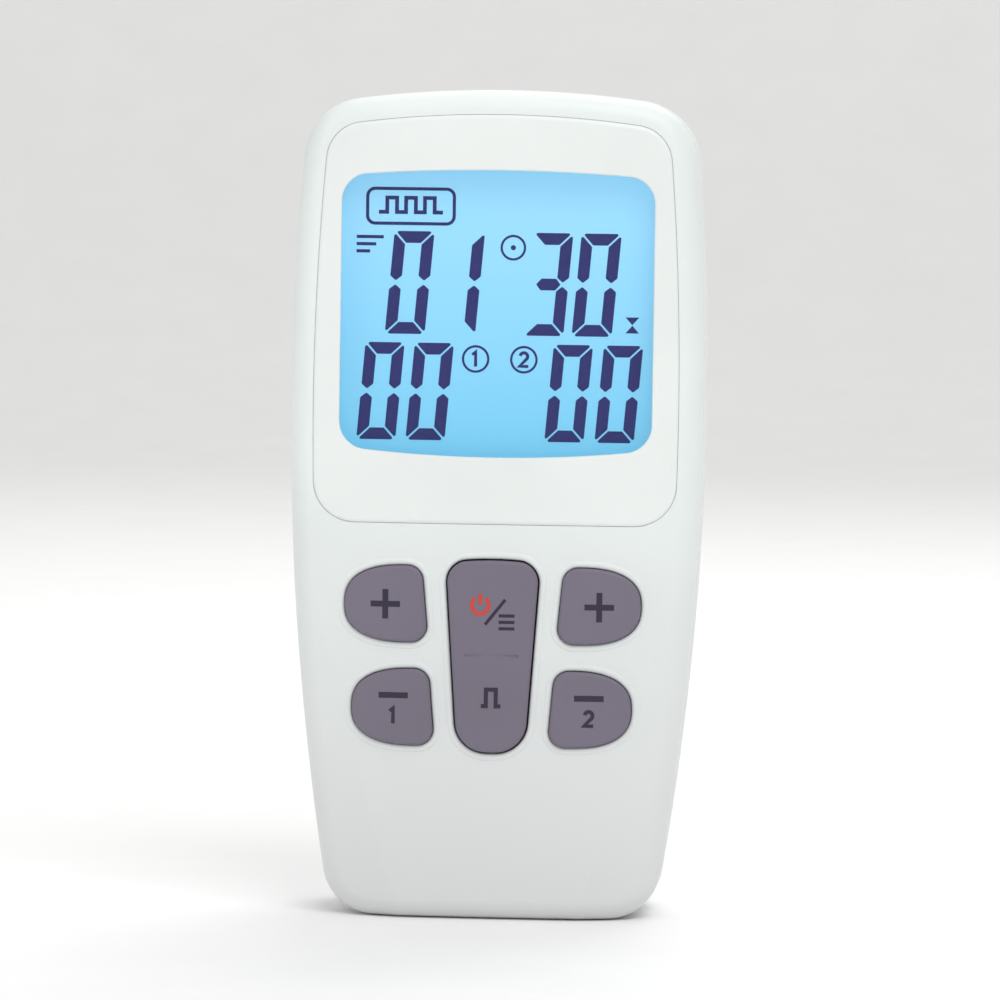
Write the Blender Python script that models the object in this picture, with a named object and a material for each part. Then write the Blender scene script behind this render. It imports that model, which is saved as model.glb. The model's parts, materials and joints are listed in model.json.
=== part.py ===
"""Two-channel TENS unit: a handheld nerve stimulator with a display, keys, cells and a belt clip.

Metres, +Z up. The unit stands on its flat lower end, the display faces -Y and +X is the viewer's
right. The origin is the middle of the bottom of the bounding box.
"""

import math
from functools import partial

import bmesh
import bpy
from mathutils import Vector

MM = 0.001
GAP = 0.3 * MM

# Housing: driving sizes
HEIGHT = 110 * MM
HALF_WIDTH = 27.6 * MM
BODY_DEPTH = 24 * MM
WIDEST_Z = 68 * MM
SIDE_R = 400 * MM
TOP_R = 145 * MM
TOP_CORNER_R = 8.5 * MM
BASE_CORNER_R = 7 * MM
WALL = 2 * MM
FACE_T = 2.4 * MM
FRONT_EDGE_R = 2.6 * MM
REAR_EDGE_R = 3.5 * MM
SHELL_STEP = 0.2 * MM
KEY_PROUD = 0.8 * MM

# Belt clip: driving sizes
CLIP_GAP = 4.5 * MM
CLIP_T = 1.6 * MM

# Depth places: the bounding box, keys and clip included, is centred on Y = 0
TOTAL_DEPTH = KEY_PROUD + BODY_DEPTH + CLIP_GAP + CLIP_T
FRONT = KEY_PROUD - TOTAL_DEPTH / 2
REAR = FRONT + BODY_DEPTH
PARTING = FRONT + 9.8 * MM

# Front face: a slight crown, and a bevel outside a crease on each side
CROWN_X_R = 260 * MM
CROWN_Z_R = 3000 * MM
CROWN_Z = 50 * MM
BEVEL_SLOPE = 0.22
BEVEL_WIDTH = 2.9 * MM
CREASE_X = 13.8 * MM
CREASE_Z = 6 * MM
CREASE_SLOPE = 0.27
SPINE = (30 * MM, 85 * MM)

# Display
BEZEL_INSET = 3.4 * MM
BEZEL_BASE_Z = 52.6 * MM
BEZEL_CORNER_R = 5.5 * MM
BEZEL_PROUD = 0.3 * MM
BEZEL_T = 0.7 * MM
WINDOW_HALF = 20.6 * MM
WINDOW_LOW_Z = 62.7 * MM
WINDOW_HIGH_Z = 98.3 * MM
WINDOW_R = 3.2 * MM
WINDOW_BOW_UP = 0.9 * MM
WINDOW_BOW_DOWN = 1.2 * MM
FACE_MIDDLE_Z = 80 * MM
LENS_FLANGE = 1.3 * MM
LENS_SHOULDER = 0.75 * MM
LENS_T = 1.2 * MM
GLASS_T = 1.4 * MM
GLASS_FRONT = FRONT + 4.0 * MM
GLASS_HALF = 21.6 * MM
GLASS_LOW_Z = 60.6 * MM
GLASS_HIGH_Z = 100.4 * MM

# Keys: the four channel keys are D-shaped, the rocker is long and narrows towards its lower end
# Each D is (inner edge at its top, inner edge at its bottom, outer end, bottom, top)
PLUS_KEY = (9.25 * MM, 8.7 * MM, 19.6 * MM, 36.9 * MM, 47.0 * MM)
MINUS_KEY = (8.2 * MM, 7.7 * MM, 18.5 * MM, 23.2 * MM, 33.3 * MM)
KEY_END_POWER = 2 / 2.5
PLUS_CENTRE = (14 * MM, 42 * MM)
MINUS_CENTRE = (13 * MM, 28.2 * MM)
KEY_CORNER_R = 2.1 * MM
ROCKER_TOP_HALF = 6.15 * MM
ROCKER_LOW_HALF = 4.45 * MM
ROCKER_LOW_Z = 22.4 * MM
ROCKER_HIGH_Z = 47.4 * MM
ROCKER_TOP_R = 2.4 * MM
ROCKER_LOW_R = 4.1 * MM
ROCKER_BOW = 0.45 * MM
ROCKER_STEM_GROW = -0.8 * MM
KEY_STEM_GROW = -2.5 * MM
KEY_AXIS_Y = FRONT + 2.4 * MM
ROCKER_Z = 35.3 * MM
FLANGE_FRONT = FRONT + 3.6 * MM
FLANGE_BACK = FRONT + 4.2 * MM
STEM_BACK = FRONT + 4.5 * MM
FLANGE_GROW = 0.8 * MM
KEY_GAP = 0.35 * MM
MAT_FRONT = FRONT + 5.6 * MM
MAT_T = 0.5 * MM
DOME_T = 0.3 * MM
DOME_REACH = 8.2 * MM

# Main board
BOARD_FRONT = FRONT + 7.0 * MM
BOARD_BACK = BOARD_FRONT + 1.6 * MM
PARTS_Y = BOARD_BACK + GAP
BOARD_SCREWS = [(-21.8 * MM, 52 * MM), (21.8 * MM, 52 * MM)]

# Cells and their bay
CELL_R = 5.25 * MM
CELL_LENGTH = 44.5 * MM
CELL_PITCH = 10.8 * MM
CELL_Y = 2.1 * MM
BAY_HALF = 16.3 * MM
BAY_LOW_Z = 7.1 * MM
BAY_HIGH_Z = 59.4 * MM
BAY_FRONT = CELL_Y - CELL_R - 0.25 * MM
BAY_WALL = 1.2 * MM
CONTACT_T = 0.4 * MM
WIRE_R = 0.4 * MM

# Battery door, hinged at its lower edge
DOOR_T = 1.8 * MM
DOOR_HALF = 16.9 * MM
DOOR_HIGH_Z = 61.2 * MM
DOOR_PIVOT_Z = 5 * MM
DOOR_PIVOT_Y = REAR - 0.95 * MM
DOOR_CLEAR = 1.45 * MM
DOOR_SILL = 1.0 * MM
KNUCKLE_R = 0.85 * MM
KNUCKLE_X = 12 * MM
KNUCKLE_HALF = 2.5 * MM
GRIP_Z = [50 * MM, 53 * MM, 56 * MM]
LABEL_SIZE = (14 * MM, 18 * MM, 40 * MM, 1.5 * MM)

# Case screws (x, z): two near the top, two near the bottom
SCREW_PAIRS = [(17 * MM, 104.4 * MM), (19.9 * MM, 14.5 * MM)]
CASE_SCREWS = [(side * x, z) for x, z in SCREW_PAIRS for side in (-1, 1)]
SCREW_SEAT_DEPTH = 2.4 * MM
BOSS_R = 2 * MM
SCREW_R = 1.1 * MM
HEAD_R = 2.1 * MM

# Output sockets
SOCKET_X = 9 * MM
SOCKET_Y = -0.4 * MM
SOCKET_NOSE_R = 3.2 * MM
SOCKET_BORE_R = 2.3 * MM
SOCKET_PIN_R = 1.0 * MM
SOCKET_LOW_Z = 96 * MM
SOCKET_HIGH_Z = 107.2 * MM
SOCKET_MOUTH_Z = 109.2 * MM

# Belt clip on its pin
CLIP_PIN_Z = 93 * MM
CLIP_PIN_Y = REAR + 2.7 * MM
CLIP_PIN_R = 0.8 * MM
CLIP_HALF = 9 * MM
EAR_X = 5 * MM
EAR_HALF_T = 0.9 * MM
EAR_HALF_Z = 3 * MM
EAR_R = 1.8 * MM
CLIP_EAR_X = 7.3 * MM


# ---------------------------------------------------------------- outlines, as (x, z) points


def arc(centre, radius, start, end, steps):
    """Points on an arc, both ends included."""
    angles = [start + (end - start) * i / steps for i in range(steps + 1)]
    return [(centre[0] + radius * math.cos(a), centre[1] + radius * math.sin(a)) for a in angles]


def half_width(z):
    """Half the width of the housing at height z."""
    return HALF_WIDTH - SIDE_R + math.sqrt(SIDE_R**2 - (z - WIDEST_Z) ** 2)


def top_corner(inset, radius):
    """Centre of the corner arc that touches both the side arc and the top arc."""
    side = Vector((HALF_WIDTH - SIDE_R, WIDEST_Z))
    top = Vector((0, HEIGHT - TOP_R))
    reach_side = SIDE_R - inset - radius
    reach_top = TOP_R - inset - radius
    across = top - side
    length = across.length
    along = (reach_side**2 - reach_top**2 + length**2) / (2 * length)
    off = math.sqrt(reach_side**2 - along**2)
    unit = across / length
    return side + unit * along + Vector((-unit.y, unit.x)) * off


def housing_outline(inset=0.0, base=None, base_corner=BASE_CORNER_R, corner_steps=4, side_steps=7):
    """Anticlockwise outline of the housing, drawn in by inset, with its flat base at height base."""
    base = inset if base is None else base
    low_r = max(base_corner - inset, 0.6 * MM)
    high_r = max(TOP_CORNER_R - inset, 0.6 * MM)
    side = (HALF_WIDTH - SIDE_R, WIDEST_Z)
    side_r = SIDE_R - inset
    low_z = base + low_r
    low = (side[0] + math.sqrt((side_r - low_r) ** 2 - (low_z - WIDEST_Z) ** 2), low_z)
    high = top_corner(inset, high_r)
    low_turn = math.atan2(low[1] - side[1], low[0] - side[0])
    high_turn = math.atan2(high[1] - side[1], high[0] - side[0])
    top = (0, HEIGHT - TOP_R)
    top_turn = math.atan2(high[1] - top[1], high[0] - top[0])
    right = [(0, base), (low[0] * 0.5, base)]
    right += arc(low, low_r, -math.pi / 2, low_turn, corner_steps)
    right += arc(side, side_r, low_turn, high_turn, side_steps)[1:-1]
    right += arc(high, high_r, high_turn, top_turn, corner_steps)
    right += arc(top, TOP_R - inset, top_turn, math.pi / 2, side_steps // 2 + 1)[1:]
    left = [(-x, z) for x, z in right[-2:0:-1]]
    return right + left


def rounded_polygon(corners, radii, grow=0.0, corner_steps=4, side_steps=1):
    """Anticlockwise convex outline with round corners, each side moved outward by grow."""
    points = []
    count = len(corners)
    for i, radius in enumerate(radii):
        here = Vector(corners[i])
        back = (Vector(corners[i - 1]) - here).normalized()
        ahead = (Vector(corners[(i + 1) % count]) - here).normalized()
        centre = here + (back + ahead).normalized() * radius / math.sin(back.angle(ahead) / 2)
        start = math.atan2(back.x, -back.y)
        end = math.atan2(-ahead.x, ahead.y)
        turn = (end - start) % (2 * math.pi)
        points.append(arc(centre, max(radius + grow, 0.05 * MM), start, start + turn, corner_steps))
    outline = []
    for i, corner in enumerate(points):
        outline += corner
        first = Vector(corner[-1])
        last = Vector(points[(i + 1) % count][0])
        outline += [tuple(first.lerp(last, s / side_steps)) for s in range(1, side_steps)]
    return outline


def rectangle(half, low, high, radius, grow=0.0, side_steps=1, corner_steps=4):
    """Round-cornered rectangle about X = 0."""
    corners = [(-half, low), (half, low), (half, high), (-half, high)]
    return rounded_polygon(corners, [radius] * 4, grow, corner_steps, side_steps)


def bowed(points, half, low, high, up, down):
    """The outline with its top edge bowed up and its lower edge bowed down."""
    middle = (low + high) / 2
    reach = (high - low) / 2
    out = []
    for x, z in points:
        bend = (up if z > middle else down) * (1 - min(1.0, (x / half) ** 2))
        out.append((x, z + bend * (z - middle) / reach))
    return out


def window_outline(grow=0.0):
    """The display window."""
    plain = rectangle(WINDOW_HALF, WINDOW_LOW_Z, WINDOW_HIGH_Z, WINDOW_R, grow, side_steps=4)
    return bowed(plain, WINDOW_HALF, WINDOW_LOW_Z, WINDOW_HIGH_Z, WINDOW_BOW_UP, WINDOW_BOW_DOWN)


def round_key(side, size, grow=0.0):
    """A D-shaped key: straight towards the middle of the unit and half a full ellipse on its outer side."""
    inner_top, inner_low, outer, low, high = size
    corner = max(KEY_CORNER_R, 0.1 * MM - grow)
    radius = corner + grow
    centre = (inner_top + corner, (low + high) / 2)
    wide = outer - centre[0] + grow
    tall = (high - low) / 2 + grow
    points = arc((inner_low + corner, low + corner), radius, math.pi, math.pi * 1.5, 3)
    for turn in range(-75, 90, 15):
        angle = math.radians(turn)
        across = math.cos(angle) ** KEY_END_POWER
        up = math.copysign(abs(math.sin(angle)) ** KEY_END_POWER, angle)
        points.append((centre[0] + wide * across, centre[1] + tall * up))
    points += arc((centre[0], high - corner), radius, math.pi / 2, math.pi, 3)
    return points if side > 0 else [(-x, z) for x, z in reversed(points)]


def plus_key(side, grow=0.0):
    """Outline of a channel's upper key."""
    return round_key(side, PLUS_KEY, grow)


def minus_key(side, grow=0.0):
    """Outline of a channel's lower key."""
    return round_key(side, MINUS_KEY, grow)


def centre_key(grow=0.0):
    """The long key: bowed at its top, narrower and round at its lower end."""
    low = [(-ROCKER_LOW_HALF, ROCKER_LOW_Z), (ROCKER_LOW_HALF, ROCKER_LOW_Z)]
    high = [(ROCKER_TOP_HALF, ROCKER_HIGH_Z), (-ROCKER_TOP_HALF, ROCKER_HIGH_Z)]
    points = rounded_polygon(low + high, [ROCKER_LOW_R] * 2 + [ROCKER_TOP_R] * 2, grow, side_steps=2)
    bow_from = ROCKER_HIGH_Z - ROCKER_TOP_R - MM
    out = []
    for x, z in points:
        bow = ROCKER_BOW * max(0.0, 1 - (x / ROCKER_TOP_HALF) ** 2) if z > bow_from else 0.0
        out.append((x, z + bow))
    return out


# ---------------------------------------------------------------- the front surface


def crown(x, z):
    """How far the front surface lies behind FRONT at (x, z), without the edge rounding."""
    sag = x * x / (2 * CROWN_X_R) + (z - CROWN_Z) ** 2 / (2 * CROWN_Z_R)
    crease = min(CREASE_X + CREASE_SLOPE * (z - CREASE_Z), half_width(z) - BEVEL_WIDTH)
    return sag + BEVEL_SLOPE * max(0.0, abs(x) - crease)


def on_face(points, offset):
    """3D points on the front surface, moved back by offset."""
    return [(x, FRONT + crown(x, z) + offset, z) for x, z in points]


def at_depth(points, y):
    """3D points of an outline on a plane of constant Y."""
    return [(x, y, z) for x, z in points]


def drawn_in(points, fraction, spine, middle_x=0.0):
    """The outline drawn towards an upright line of the face."""
    out = []
    for x, z in points:
        target = min(max(z, spine[0]), spine[1])
        out.append((x + (middle_x - x) * fraction, z + (target - z) * fraction))
    return out


def face_rings(points, offset, spine, middle_x=0.0, fractions=(0.75, 0.4)):
    """Rings that fill an outline on the crowned face, from its middle out to the outline."""
    rings = [on_face(drawn_in(points, f, spine, middle_x), offset) for f in fractions]
    return rings + [on_face(points, offset)]


# ---------------------------------------------------------------- meshes


def loft(rings):
    """A closed mesh through rings with the same number of points, capped at both ends."""
    mesh = bmesh.new()
    loops = [[mesh.verts.new(p) for p in ring] for ring in rings]
    count = len(loops[0])
    for near, far in zip(loops, loops[1:]):
        for i in range(count):
            j = (i + 1) % count
            mesh.faces.new((near[i], near[j], far[j], far[i]))
    mesh.faces.new(reversed(loops[0]))
    mesh.faces.new(loops[-1])
    return finished(mesh)


def finished(mesh):
    """The mesh with its bent faces in triangles and all its faces pointing out."""
    mesh.normal_update()
    flat = 1e-7
    bent = [f for f in mesh.faces if max(abs((v.co - f.verts[0].co).dot(f.normal)) for v in f.verts) > flat]
    bmesh.ops.triangulate(mesh, faces=bent)
    bmesh.ops.recalc_face_normals(mesh, faces=mesh.faces[:])
    return mesh


def prism(points, y0, y1):
    """An (x, z) outline extruded along Y."""
    return loft([at_depth(points, y0), at_depth(points, y1)])


def block(x, y, z, bevel=0.0):
    """A box given as three (low, high) pairs, with an optional edge bevel."""
    mesh = bmesh.new()
    bmesh.ops.create_cube(mesh, size=1)
    size = [pair[1] - pair[0] for pair in (x, y, z)]
    middle = Vector([(pair[1] + pair[0]) / 2 for pair in (x, y, z)])
    bmesh.ops.scale(mesh, vec=size, verts=mesh.verts)
    bmesh.ops.translate(mesh, vec=middle, verts=mesh.verts)
    if bevel:
        bmesh.ops.bevel(mesh, geom=mesh.edges[:], offset=bevel, segments=1, affect="EDGES")
    return finished(mesh)


def turned(profile, centre, axis, sides=16):
    """A solid turned about an axis through centre from (distance along, radius) points."""
    turn = Vector((0, 0, 1)).rotation_difference(Vector(axis))
    rings = []
    for along, radius in profile:
        ring = arc((0, 0), radius, 0, 2 * math.pi * (sides - 1) / sides, sides - 1)
        rings.append([Vector(centre) + turn @ Vector((x, y, along)) for x, y in ring])
    return loft(rings)


def rod(centre, radius, start, end, axis, sides=16):
    """A plain cylinder along an axis through centre, from start to end."""
    return turned([(start, radius), (end, radius)], centre, axis, sides)


def swept(path, radius, sides=6):
    """A round wire along a list of 3D points."""
    rings = []
    normal = None
    for i, point in enumerate(path):
        point = Vector(point)
        ahead = (Vector(path[min(i + 1, len(path) - 1)]) - Vector(path[max(i - 1, 0)])).normalized()
        if normal is None:
            normal = ahead.orthogonal().normalized()
        normal = (normal - ahead * normal.dot(ahead)).normalized()
        side = ahead.cross(normal)
        ring = arc((0, 0), radius, 0, 2 * math.pi * (sides - 1) / sides, sides - 1)
        rings.append([point + normal * x + side * y for x, y in ring])
    return loft(rings)


# ---------------------------------------------------------------- objects and materials


def material(name, colour, roughness, metallic=0.0):
    """A Principled material; colour is linear RGB or RGBA."""
    made = bpy.data.materials.new(name)
    made.use_nodes = True
    shader = made.node_tree.nodes["Principled BSDF"]
    shader.inputs["Base Color"].default_value = (*colour[:3], 1)
    shader.inputs["Roughness"].default_value = roughness
    shader.inputs["Metallic"].default_value = metallic
    if len(colour) == 4:
        shader.inputs["Alpha"].default_value = colour[3]
    return made


def add(name, mesh, finish, origin=(0, 0, 0), sharp=35):
    """Add one named sub-part with its origin at the given point."""
    bmesh.ops.translate(mesh, vec=-Vector(origin), verts=mesh.verts)
    data = bpy.data.meshes.new(name)
    mesh.to_mesh(data)
    mesh.free()
    data.shade_smooth()
    data.set_sharp_from_angle(angle=math.radians(sharp))
    thing = bpy.data.objects.new(name, data)
    thing.location = origin
    bpy.context.collection.objects.link(thing)
    if finish:
        looks = material(name, *finish)
        data.materials.append(looks)
    return thing


def shape(target, operation, meshes, label):
    """Cut meshes out of a sub-part or join them to it, as one Boolean."""
    tool_mesh = bmesh.new()
    for mesh in meshes:
        data = bpy.data.meshes.new(label)
        mesh.to_mesh(data)
        mesh.free()
        tool_mesh.from_mesh(data)
        bpy.data.meshes.remove(data)
    bmesh.ops.translate(tool_mesh, vec=-target.location, verts=tool_mesh.verts)
    tool = add(target.name + "_" + label, tool_mesh, None)
    tool.location = target.location
    tool.hide_render = True
    tool.display_type = "WIRE"
    step = target.modifiers.new(label, "BOOLEAN")
    step.operation = operation
    step.solver = "EXACT"
    step.object = tool


WHITE = ((0.80, 0.83, 0.81), 0.42)
GREY_KEY = ((0.19, 0.16, 0.20), 0.55)
SILICONE = ((0.55, 0.57, 0.58), 0.7)
CLEAR = ((0.75, 0.86, 0.95, 0.35), 0.08)
BLUE_LCD = ((0.28, 0.62, 0.88), 0.2)
LIGHT_GUIDE = ((0.85, 0.88, 0.92), 0.35)
BOARD_GREEN = ((0.02, 0.16, 0.07), 0.45)
BLACK_PLASTIC = ((0.02, 0.02, 0.022), 0.5)
STEEL = ((0.62, 0.62, 0.63), 0.3, 1.0)
WINDING = ((0.62, 0.42, 0.05), 0.5)
CELL_WRAP = ((0.05, 0.08, 0.20), 0.35)
RED_WIRE = ((0.5, 0.02, 0.02), 0.45)
BLACK_WIRE = ((0.02, 0.02, 0.02), 0.45)
LABEL = ((0.70, 0.71, 0.72), 0.6)


# ---------------------------------------------------------------- housing


def shell_rings():
    """Rings of the front shell's outer surface, from the parting plane to the middle of the face."""
    side = housing_outline(SHELL_STEP, base=0.0)
    rings = [at_depth(side, PARTING - GAP / 2), on_face(side, FRONT_EDGE_R)]
    for turn in (30, 60, 90):
        angle = math.radians(turn)
        inset = FRONT_EDGE_R * (1 - math.cos(angle))
        ring = housing_outline(inset + SHELL_STEP, base=inset)
        rings.append(on_face(ring, FRONT_EDGE_R * (1 - math.sin(angle))))
    inner = housing_outline(5 * MM, base=5 * MM)
    return rings + list(reversed(face_rings(inner, 0.0, SPINE)))


def front_cavity():
    """The hollow of the front shell, which follows its face."""
    side = housing_outline(WALL)
    edge = 0.8 * MM
    rings = [at_depth(side, PARTING + MM), on_face(side, FACE_T + edge)]
    inner = housing_outline(WALL + edge)
    return loft(rings + list(reversed(face_rings(inner, FACE_T, SPINE))))


def key_outlines(grow=0.0):
    """Outline of every key opening or key, by name."""
    return {
        "key_ch1_plus": plus_key(-1, grow),
        "key_ch1_minus": minus_key(-1, grow),
        "key_ch2_plus": plus_key(1, grow),
        "key_ch2_minus": minus_key(1, grow),
        "key_mode": centre_key(grow),
    }


def crowned_plate(points, front, back, middle_z):
    """A plate that follows the crown, between two offsets from the front surface."""
    spine = (middle_z - 8 * MM, middle_z + 8 * MM)
    fronts = face_rings(points, front, spine)
    backs = face_rings(points, back, spine)
    return loft(fronts + list(reversed(backs)))


def bezel_outline(grow=0.0):
    """The display surround."""
    inset = BEZEL_INSET - grow
    corner = BEZEL_CORNER_R + BEZEL_INSET
    return housing_outline(inset, BEZEL_BASE_Z - grow, corner, corner_steps=5, side_steps=5)


def front_shell():
    """Front half: recess for the surround and window, key openings and screw bosses."""
    shell = add("front_shell", loft(shell_rings()), WHITE)
    recess = crowned_plate(bezel_outline(GAP), -2 * MM, BEZEL_T, FACE_MIDDLE_Z)
    flange_seat = crowned_plate(window_outline(LENS_FLANGE + GAP), -2 * MM, LENS_T + GAP, FACE_MIDDLE_Z)
    shape(shell, "DIFFERENCE", [front_cavity()], "cavity")
    shape(shell, "DIFFERENCE", [recess], "recess")
    shape(shell, "DIFFERENCE", [flange_seat], "seat")
    opening = prism(window_outline(), FRONT - MM, FRONT + 6 * MM)
    holes = [prism(points, FRONT - MM, FRONT + 5 * MM) for points in key_outlines(KEY_GAP).values()]
    shape(shell, "DIFFERENCE", [opening] + holes, "openings")
    root = FRONT + 2.2 * MM
    bosses = []
    bores = []
    for x, z in CASE_SCREWS:
        bosses.append(rod((x, 0, z), BOSS_R, root + 0.6 * MM, PARTING - GAP, (0, 1, 0), 14))
        bores.append(rod((x, 0, z), SCREW_R + 0.1 * MM, FRONT + 5.2 * MM, PARTING, (0, 1, 0), 12))
    for x, z in BOARD_SCREWS:
        bosses.append(rod((x, 0, z), 1.7 * MM, root, BOARD_FRONT - GAP, (0, 1, 0), 12))
        bores.append(rod((x, 0, z), 0.9 * MM, FRONT + 3.6 * MM, PARTING, (0, 1, 0), 12))
    shape(shell, "UNION", bosses, "bosses")
    shape(shell, "DIFFERENCE", bores, "bores")


def rear_outer():
    """Outer solid of the rear shell."""
    side = housing_outline()
    rings = [at_depth(side, PARTING + GAP / 2), at_depth(side, REAR - REAR_EDGE_R)]
    for turn in (30, 60, 90):
        angle = math.radians(turn)
        inset = REAR_EDGE_R * (1 - math.cos(angle))
        rings.append(at_depth(housing_outline(inset), REAR - REAR_EDGE_R * (1 - math.sin(angle))))
    return loft(rings)


def rear_cavity():
    """The hollow of the rear shell."""
    side = housing_outline(WALL)
    edge = 1.5 * MM
    rings = [at_depth(side, PARTING - MM), at_depth(side, REAR - WALL - edge)]
    return loft(rings + [at_depth(housing_outline(WALL + edge), REAR - WALL)])


def rear_shell():
    """Rear half: battery bay, door opening, screw seats, socket holes and belt clip ears."""
    shell = add("rear_shell", rear_outer(), WHITE)
    shape(shell, "DIFFERENCE", [rear_cavity()], "cavity")
    deep = REAR - 1.2 * MM
    bay = block(
        (-BAY_HALF - BAY_WALL, BAY_HALF + BAY_WALL),
        (BAY_FRONT - BAY_WALL, deep),
        (BAY_LOW_Z - BAY_WALL, BAY_HIGH_Z + BAY_WALL),
    )
    bosses = [rod((x, 0, z), BOSS_R, PARTING + GAP, deep, (0, 1, 0), 14) for x, z in CASE_SCREWS]
    ears = [clip_ear(side * EAR_X) for side in (-1, 1)]
    shape(shell, "UNION", [bay], "bay")
    shape(shell, "UNION", bosses + ears, "bosses")
    inside = block((-BAY_HALF, BAY_HALF), (BAY_FRONT, REAR + MM), (BAY_LOW_Z, BAY_HIGH_Z))
    door_seat = block(
        (-DOOR_HALF - GAP, DOOR_HALF + GAP),
        (REAR - DOOR_T - GAP, REAR + 2 * MM),
        (DOOR_PIVOT_Z + DOOR_SILL, DOOR_HIGH_Z + GAP),
    )
    tabs = [contact_slot(-CELL_PITCH, BAY_HIGH_Z), contact_slot(CELL_PITCH, BAY_LOW_Z - BAY_WALL)]
    shape(shell, "DIFFERENCE", [inside], "inside")
    shape(shell, "DIFFERENCE", [door_seat], "door_seat")
    shape(shell, "DIFFERENCE", tabs + knuckle_slots() + [finger_notch()], "slots")
    shape(shell, "DIFFERENCE", screw_holes() + socket_holes() + [clip_pin_hole(10 * MM)], "holes")


def clip_ear(x):
    """A lug that carries the clip's pin, in a plane of constant X."""
    root = REAR - 0.8 * MM
    profile = [(root, CLIP_PIN_Z - EAR_HALF_Z), (root, CLIP_PIN_Z + EAR_HALF_Z)]
    profile += arc((CLIP_PIN_Y, CLIP_PIN_Z), EAR_R, math.radians(50), math.radians(-50), 6)
    return loft([[(x + side * EAR_HALF_T, y, z) for y, z in profile] for side in (-1, 1)])


def contact_slot(x, z):
    """A slot in the bay's end wall for a contact's solder tab."""
    over = 0.1 * MM
    return block((x - 1.6 * MM, x + 1.6 * MM), (-3.0 * MM, -1.6 * MM), (z - over, z + BAY_WALL + over))


def knuckle_slots():
    """Slots for the battery door's knuckles, open to the rear."""
    reach = KNUCKLE_HALF + GAP
    deep = (DOOR_PIVOT_Y - 1.2 * MM, REAR + MM)
    tall = (DOOR_PIVOT_Z - KNUCKLE_R - GAP, DOOR_PIVOT_Z + 1.5 * MM)
    return [block((x - reach, x + reach), deep, tall) for x in (-KNUCKLE_X, KNUCKLE_X)]


def finger_notch():
    """The hollow above the battery door's latch."""
    return rod((0, REAR + 1.2 * MM, DOOR_HIGH_Z), 2.6 * MM, -5 * MM, 5 * MM, (1, 0, 0), 20)


def screw_holes():
    """Clearance holes and head seats of the case screws."""
    seat = REAR - SCREW_SEAT_DEPTH
    bore = SCREW_R + 0.25 * MM
    head = HEAD_R + GAP
    profile = [(PARTING - MM, bore), (seat, bore), (seat, head), (REAR + MM, head)]
    return [turned(profile, (x, 0, z), (0, 1, 0)) for x, z in CASE_SCREWS]


def socket_holes():
    """Round holes in the top end for the output sockets' noses."""
    radius = SOCKET_NOSE_R + GAP
    low = SOCKET_HIGH_Z - 1.2 * MM
    return [rod((x, SOCKET_Y, 0), radius, low, HEIGHT + MM, (0, 0, 1), 24) for x in (-SOCKET_X, SOCKET_X)]


def clip_pin_hole(reach):
    """The bore that the clip's pin passes through."""
    return rod((0, CLIP_PIN_Y, CLIP_PIN_Z), CLIP_PIN_R + 0.1 * MM, -reach, reach, (1, 0, 0), 16)


# ---------------------------------------------------------------- display


def display():
    """Surround, window, display glass, its frame, light guide and connector strip."""
    bezel_plate = crowned_plate(bezel_outline(), -BEZEL_PROUD, BEZEL_T - GAP, FACE_MIDDLE_Z)
    bezel = add("display_bezel", bezel_plate, WHITE)
    shape(bezel, "DIFFERENCE", [prism(window_outline(GAP / 2), FRONT - MM, FRONT + 6 * MM)], "window")
    spine = (FACE_MIDDLE_Z - 8 * MM, FACE_MIDDLE_Z + 8 * MM)
    rings = face_rings(window_outline(-GAP / 2), -0.1 * MM, spine)
    rings.append(on_face(window_outline(-GAP / 2), LENS_SHOULDER))
    flange = window_outline(LENS_FLANGE)
    rings += [on_face(flange, LENS_SHOULDER), on_face(flange, LENS_T)]
    rings += list(reversed(face_rings(window_outline(), LENS_T, spine)[:2]))
    add("lcd_window", loft(rings), CLEAR)
    glass = (GLASS_HALF, GLASS_LOW_Z, GLASS_HIGH_Z, 0.6 * MM)
    glass_back = GLASS_FRONT + GLASS_T
    add("lcd_glass", prism(rectangle(*glass, corner_steps=1), GLASS_FRONT, glass_back), BLUE_LCD)
    outside = prism(rectangle(*glass, 1.4 * MM), GLASS_FRONT, BOARD_FRONT - GAP)
    frame = add("lcd_frame", outside, LIGHT_GUIDE)
    inside = prism(rectangle(*glass, GAP), GLASS_FRONT - MM, BOARD_FRONT + MM)
    shape(frame, "DIFFERENCE", [inside], "inside")
    behind = (glass_back + GAP, BOARD_FRONT - GAP)
    across = (MM - GLASS_HALF, GLASS_HALF - MM)
    lit = (GLASS_LOW_Z + 2.4 * MM, GLASS_HIGH_Z - GAP)
    add("backlight_panel", block(across, behind, lit), LIGHT_GUIDE)
    add("zebra_strip", block(across, behind, (GLASS_LOW_Z + GAP, GLASS_LOW_Z + 2 * MM)), SILICONE)


# ---------------------------------------------------------------- keys


def key(name, outline, origin, stem_grow):
    """A key cap with its flange behind the face and a stem towards its dome."""
    plain = outline(0.0)
    middle = sum((Vector(p) for p in plain), Vector((0, 0))) / len(plain)
    spine = (middle.y - 2 * MM, middle.y + 2 * MM)
    rings = face_rings(outline(-0.6 * MM), -KEY_PROUD, spine, middle.x, (0.6,))
    rings += [on_face(outline(-0.15 * MM), -KEY_PROUD + 0.15 * MM), on_face(plain, -KEY_PROUD + 0.6 * MM)]
    rings += [at_depth(plain, FLANGE_FRONT)]
    rings += [at_depth(outline(FLANGE_GROW), y) for y in (FLANGE_FRONT, FLANGE_BACK)]
    rings += [at_depth(outline(stem_grow), y) for y in (FLANGE_BACK, STEM_BACK)]
    add(name, loft(rings), GREY_KEY, origin)


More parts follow.
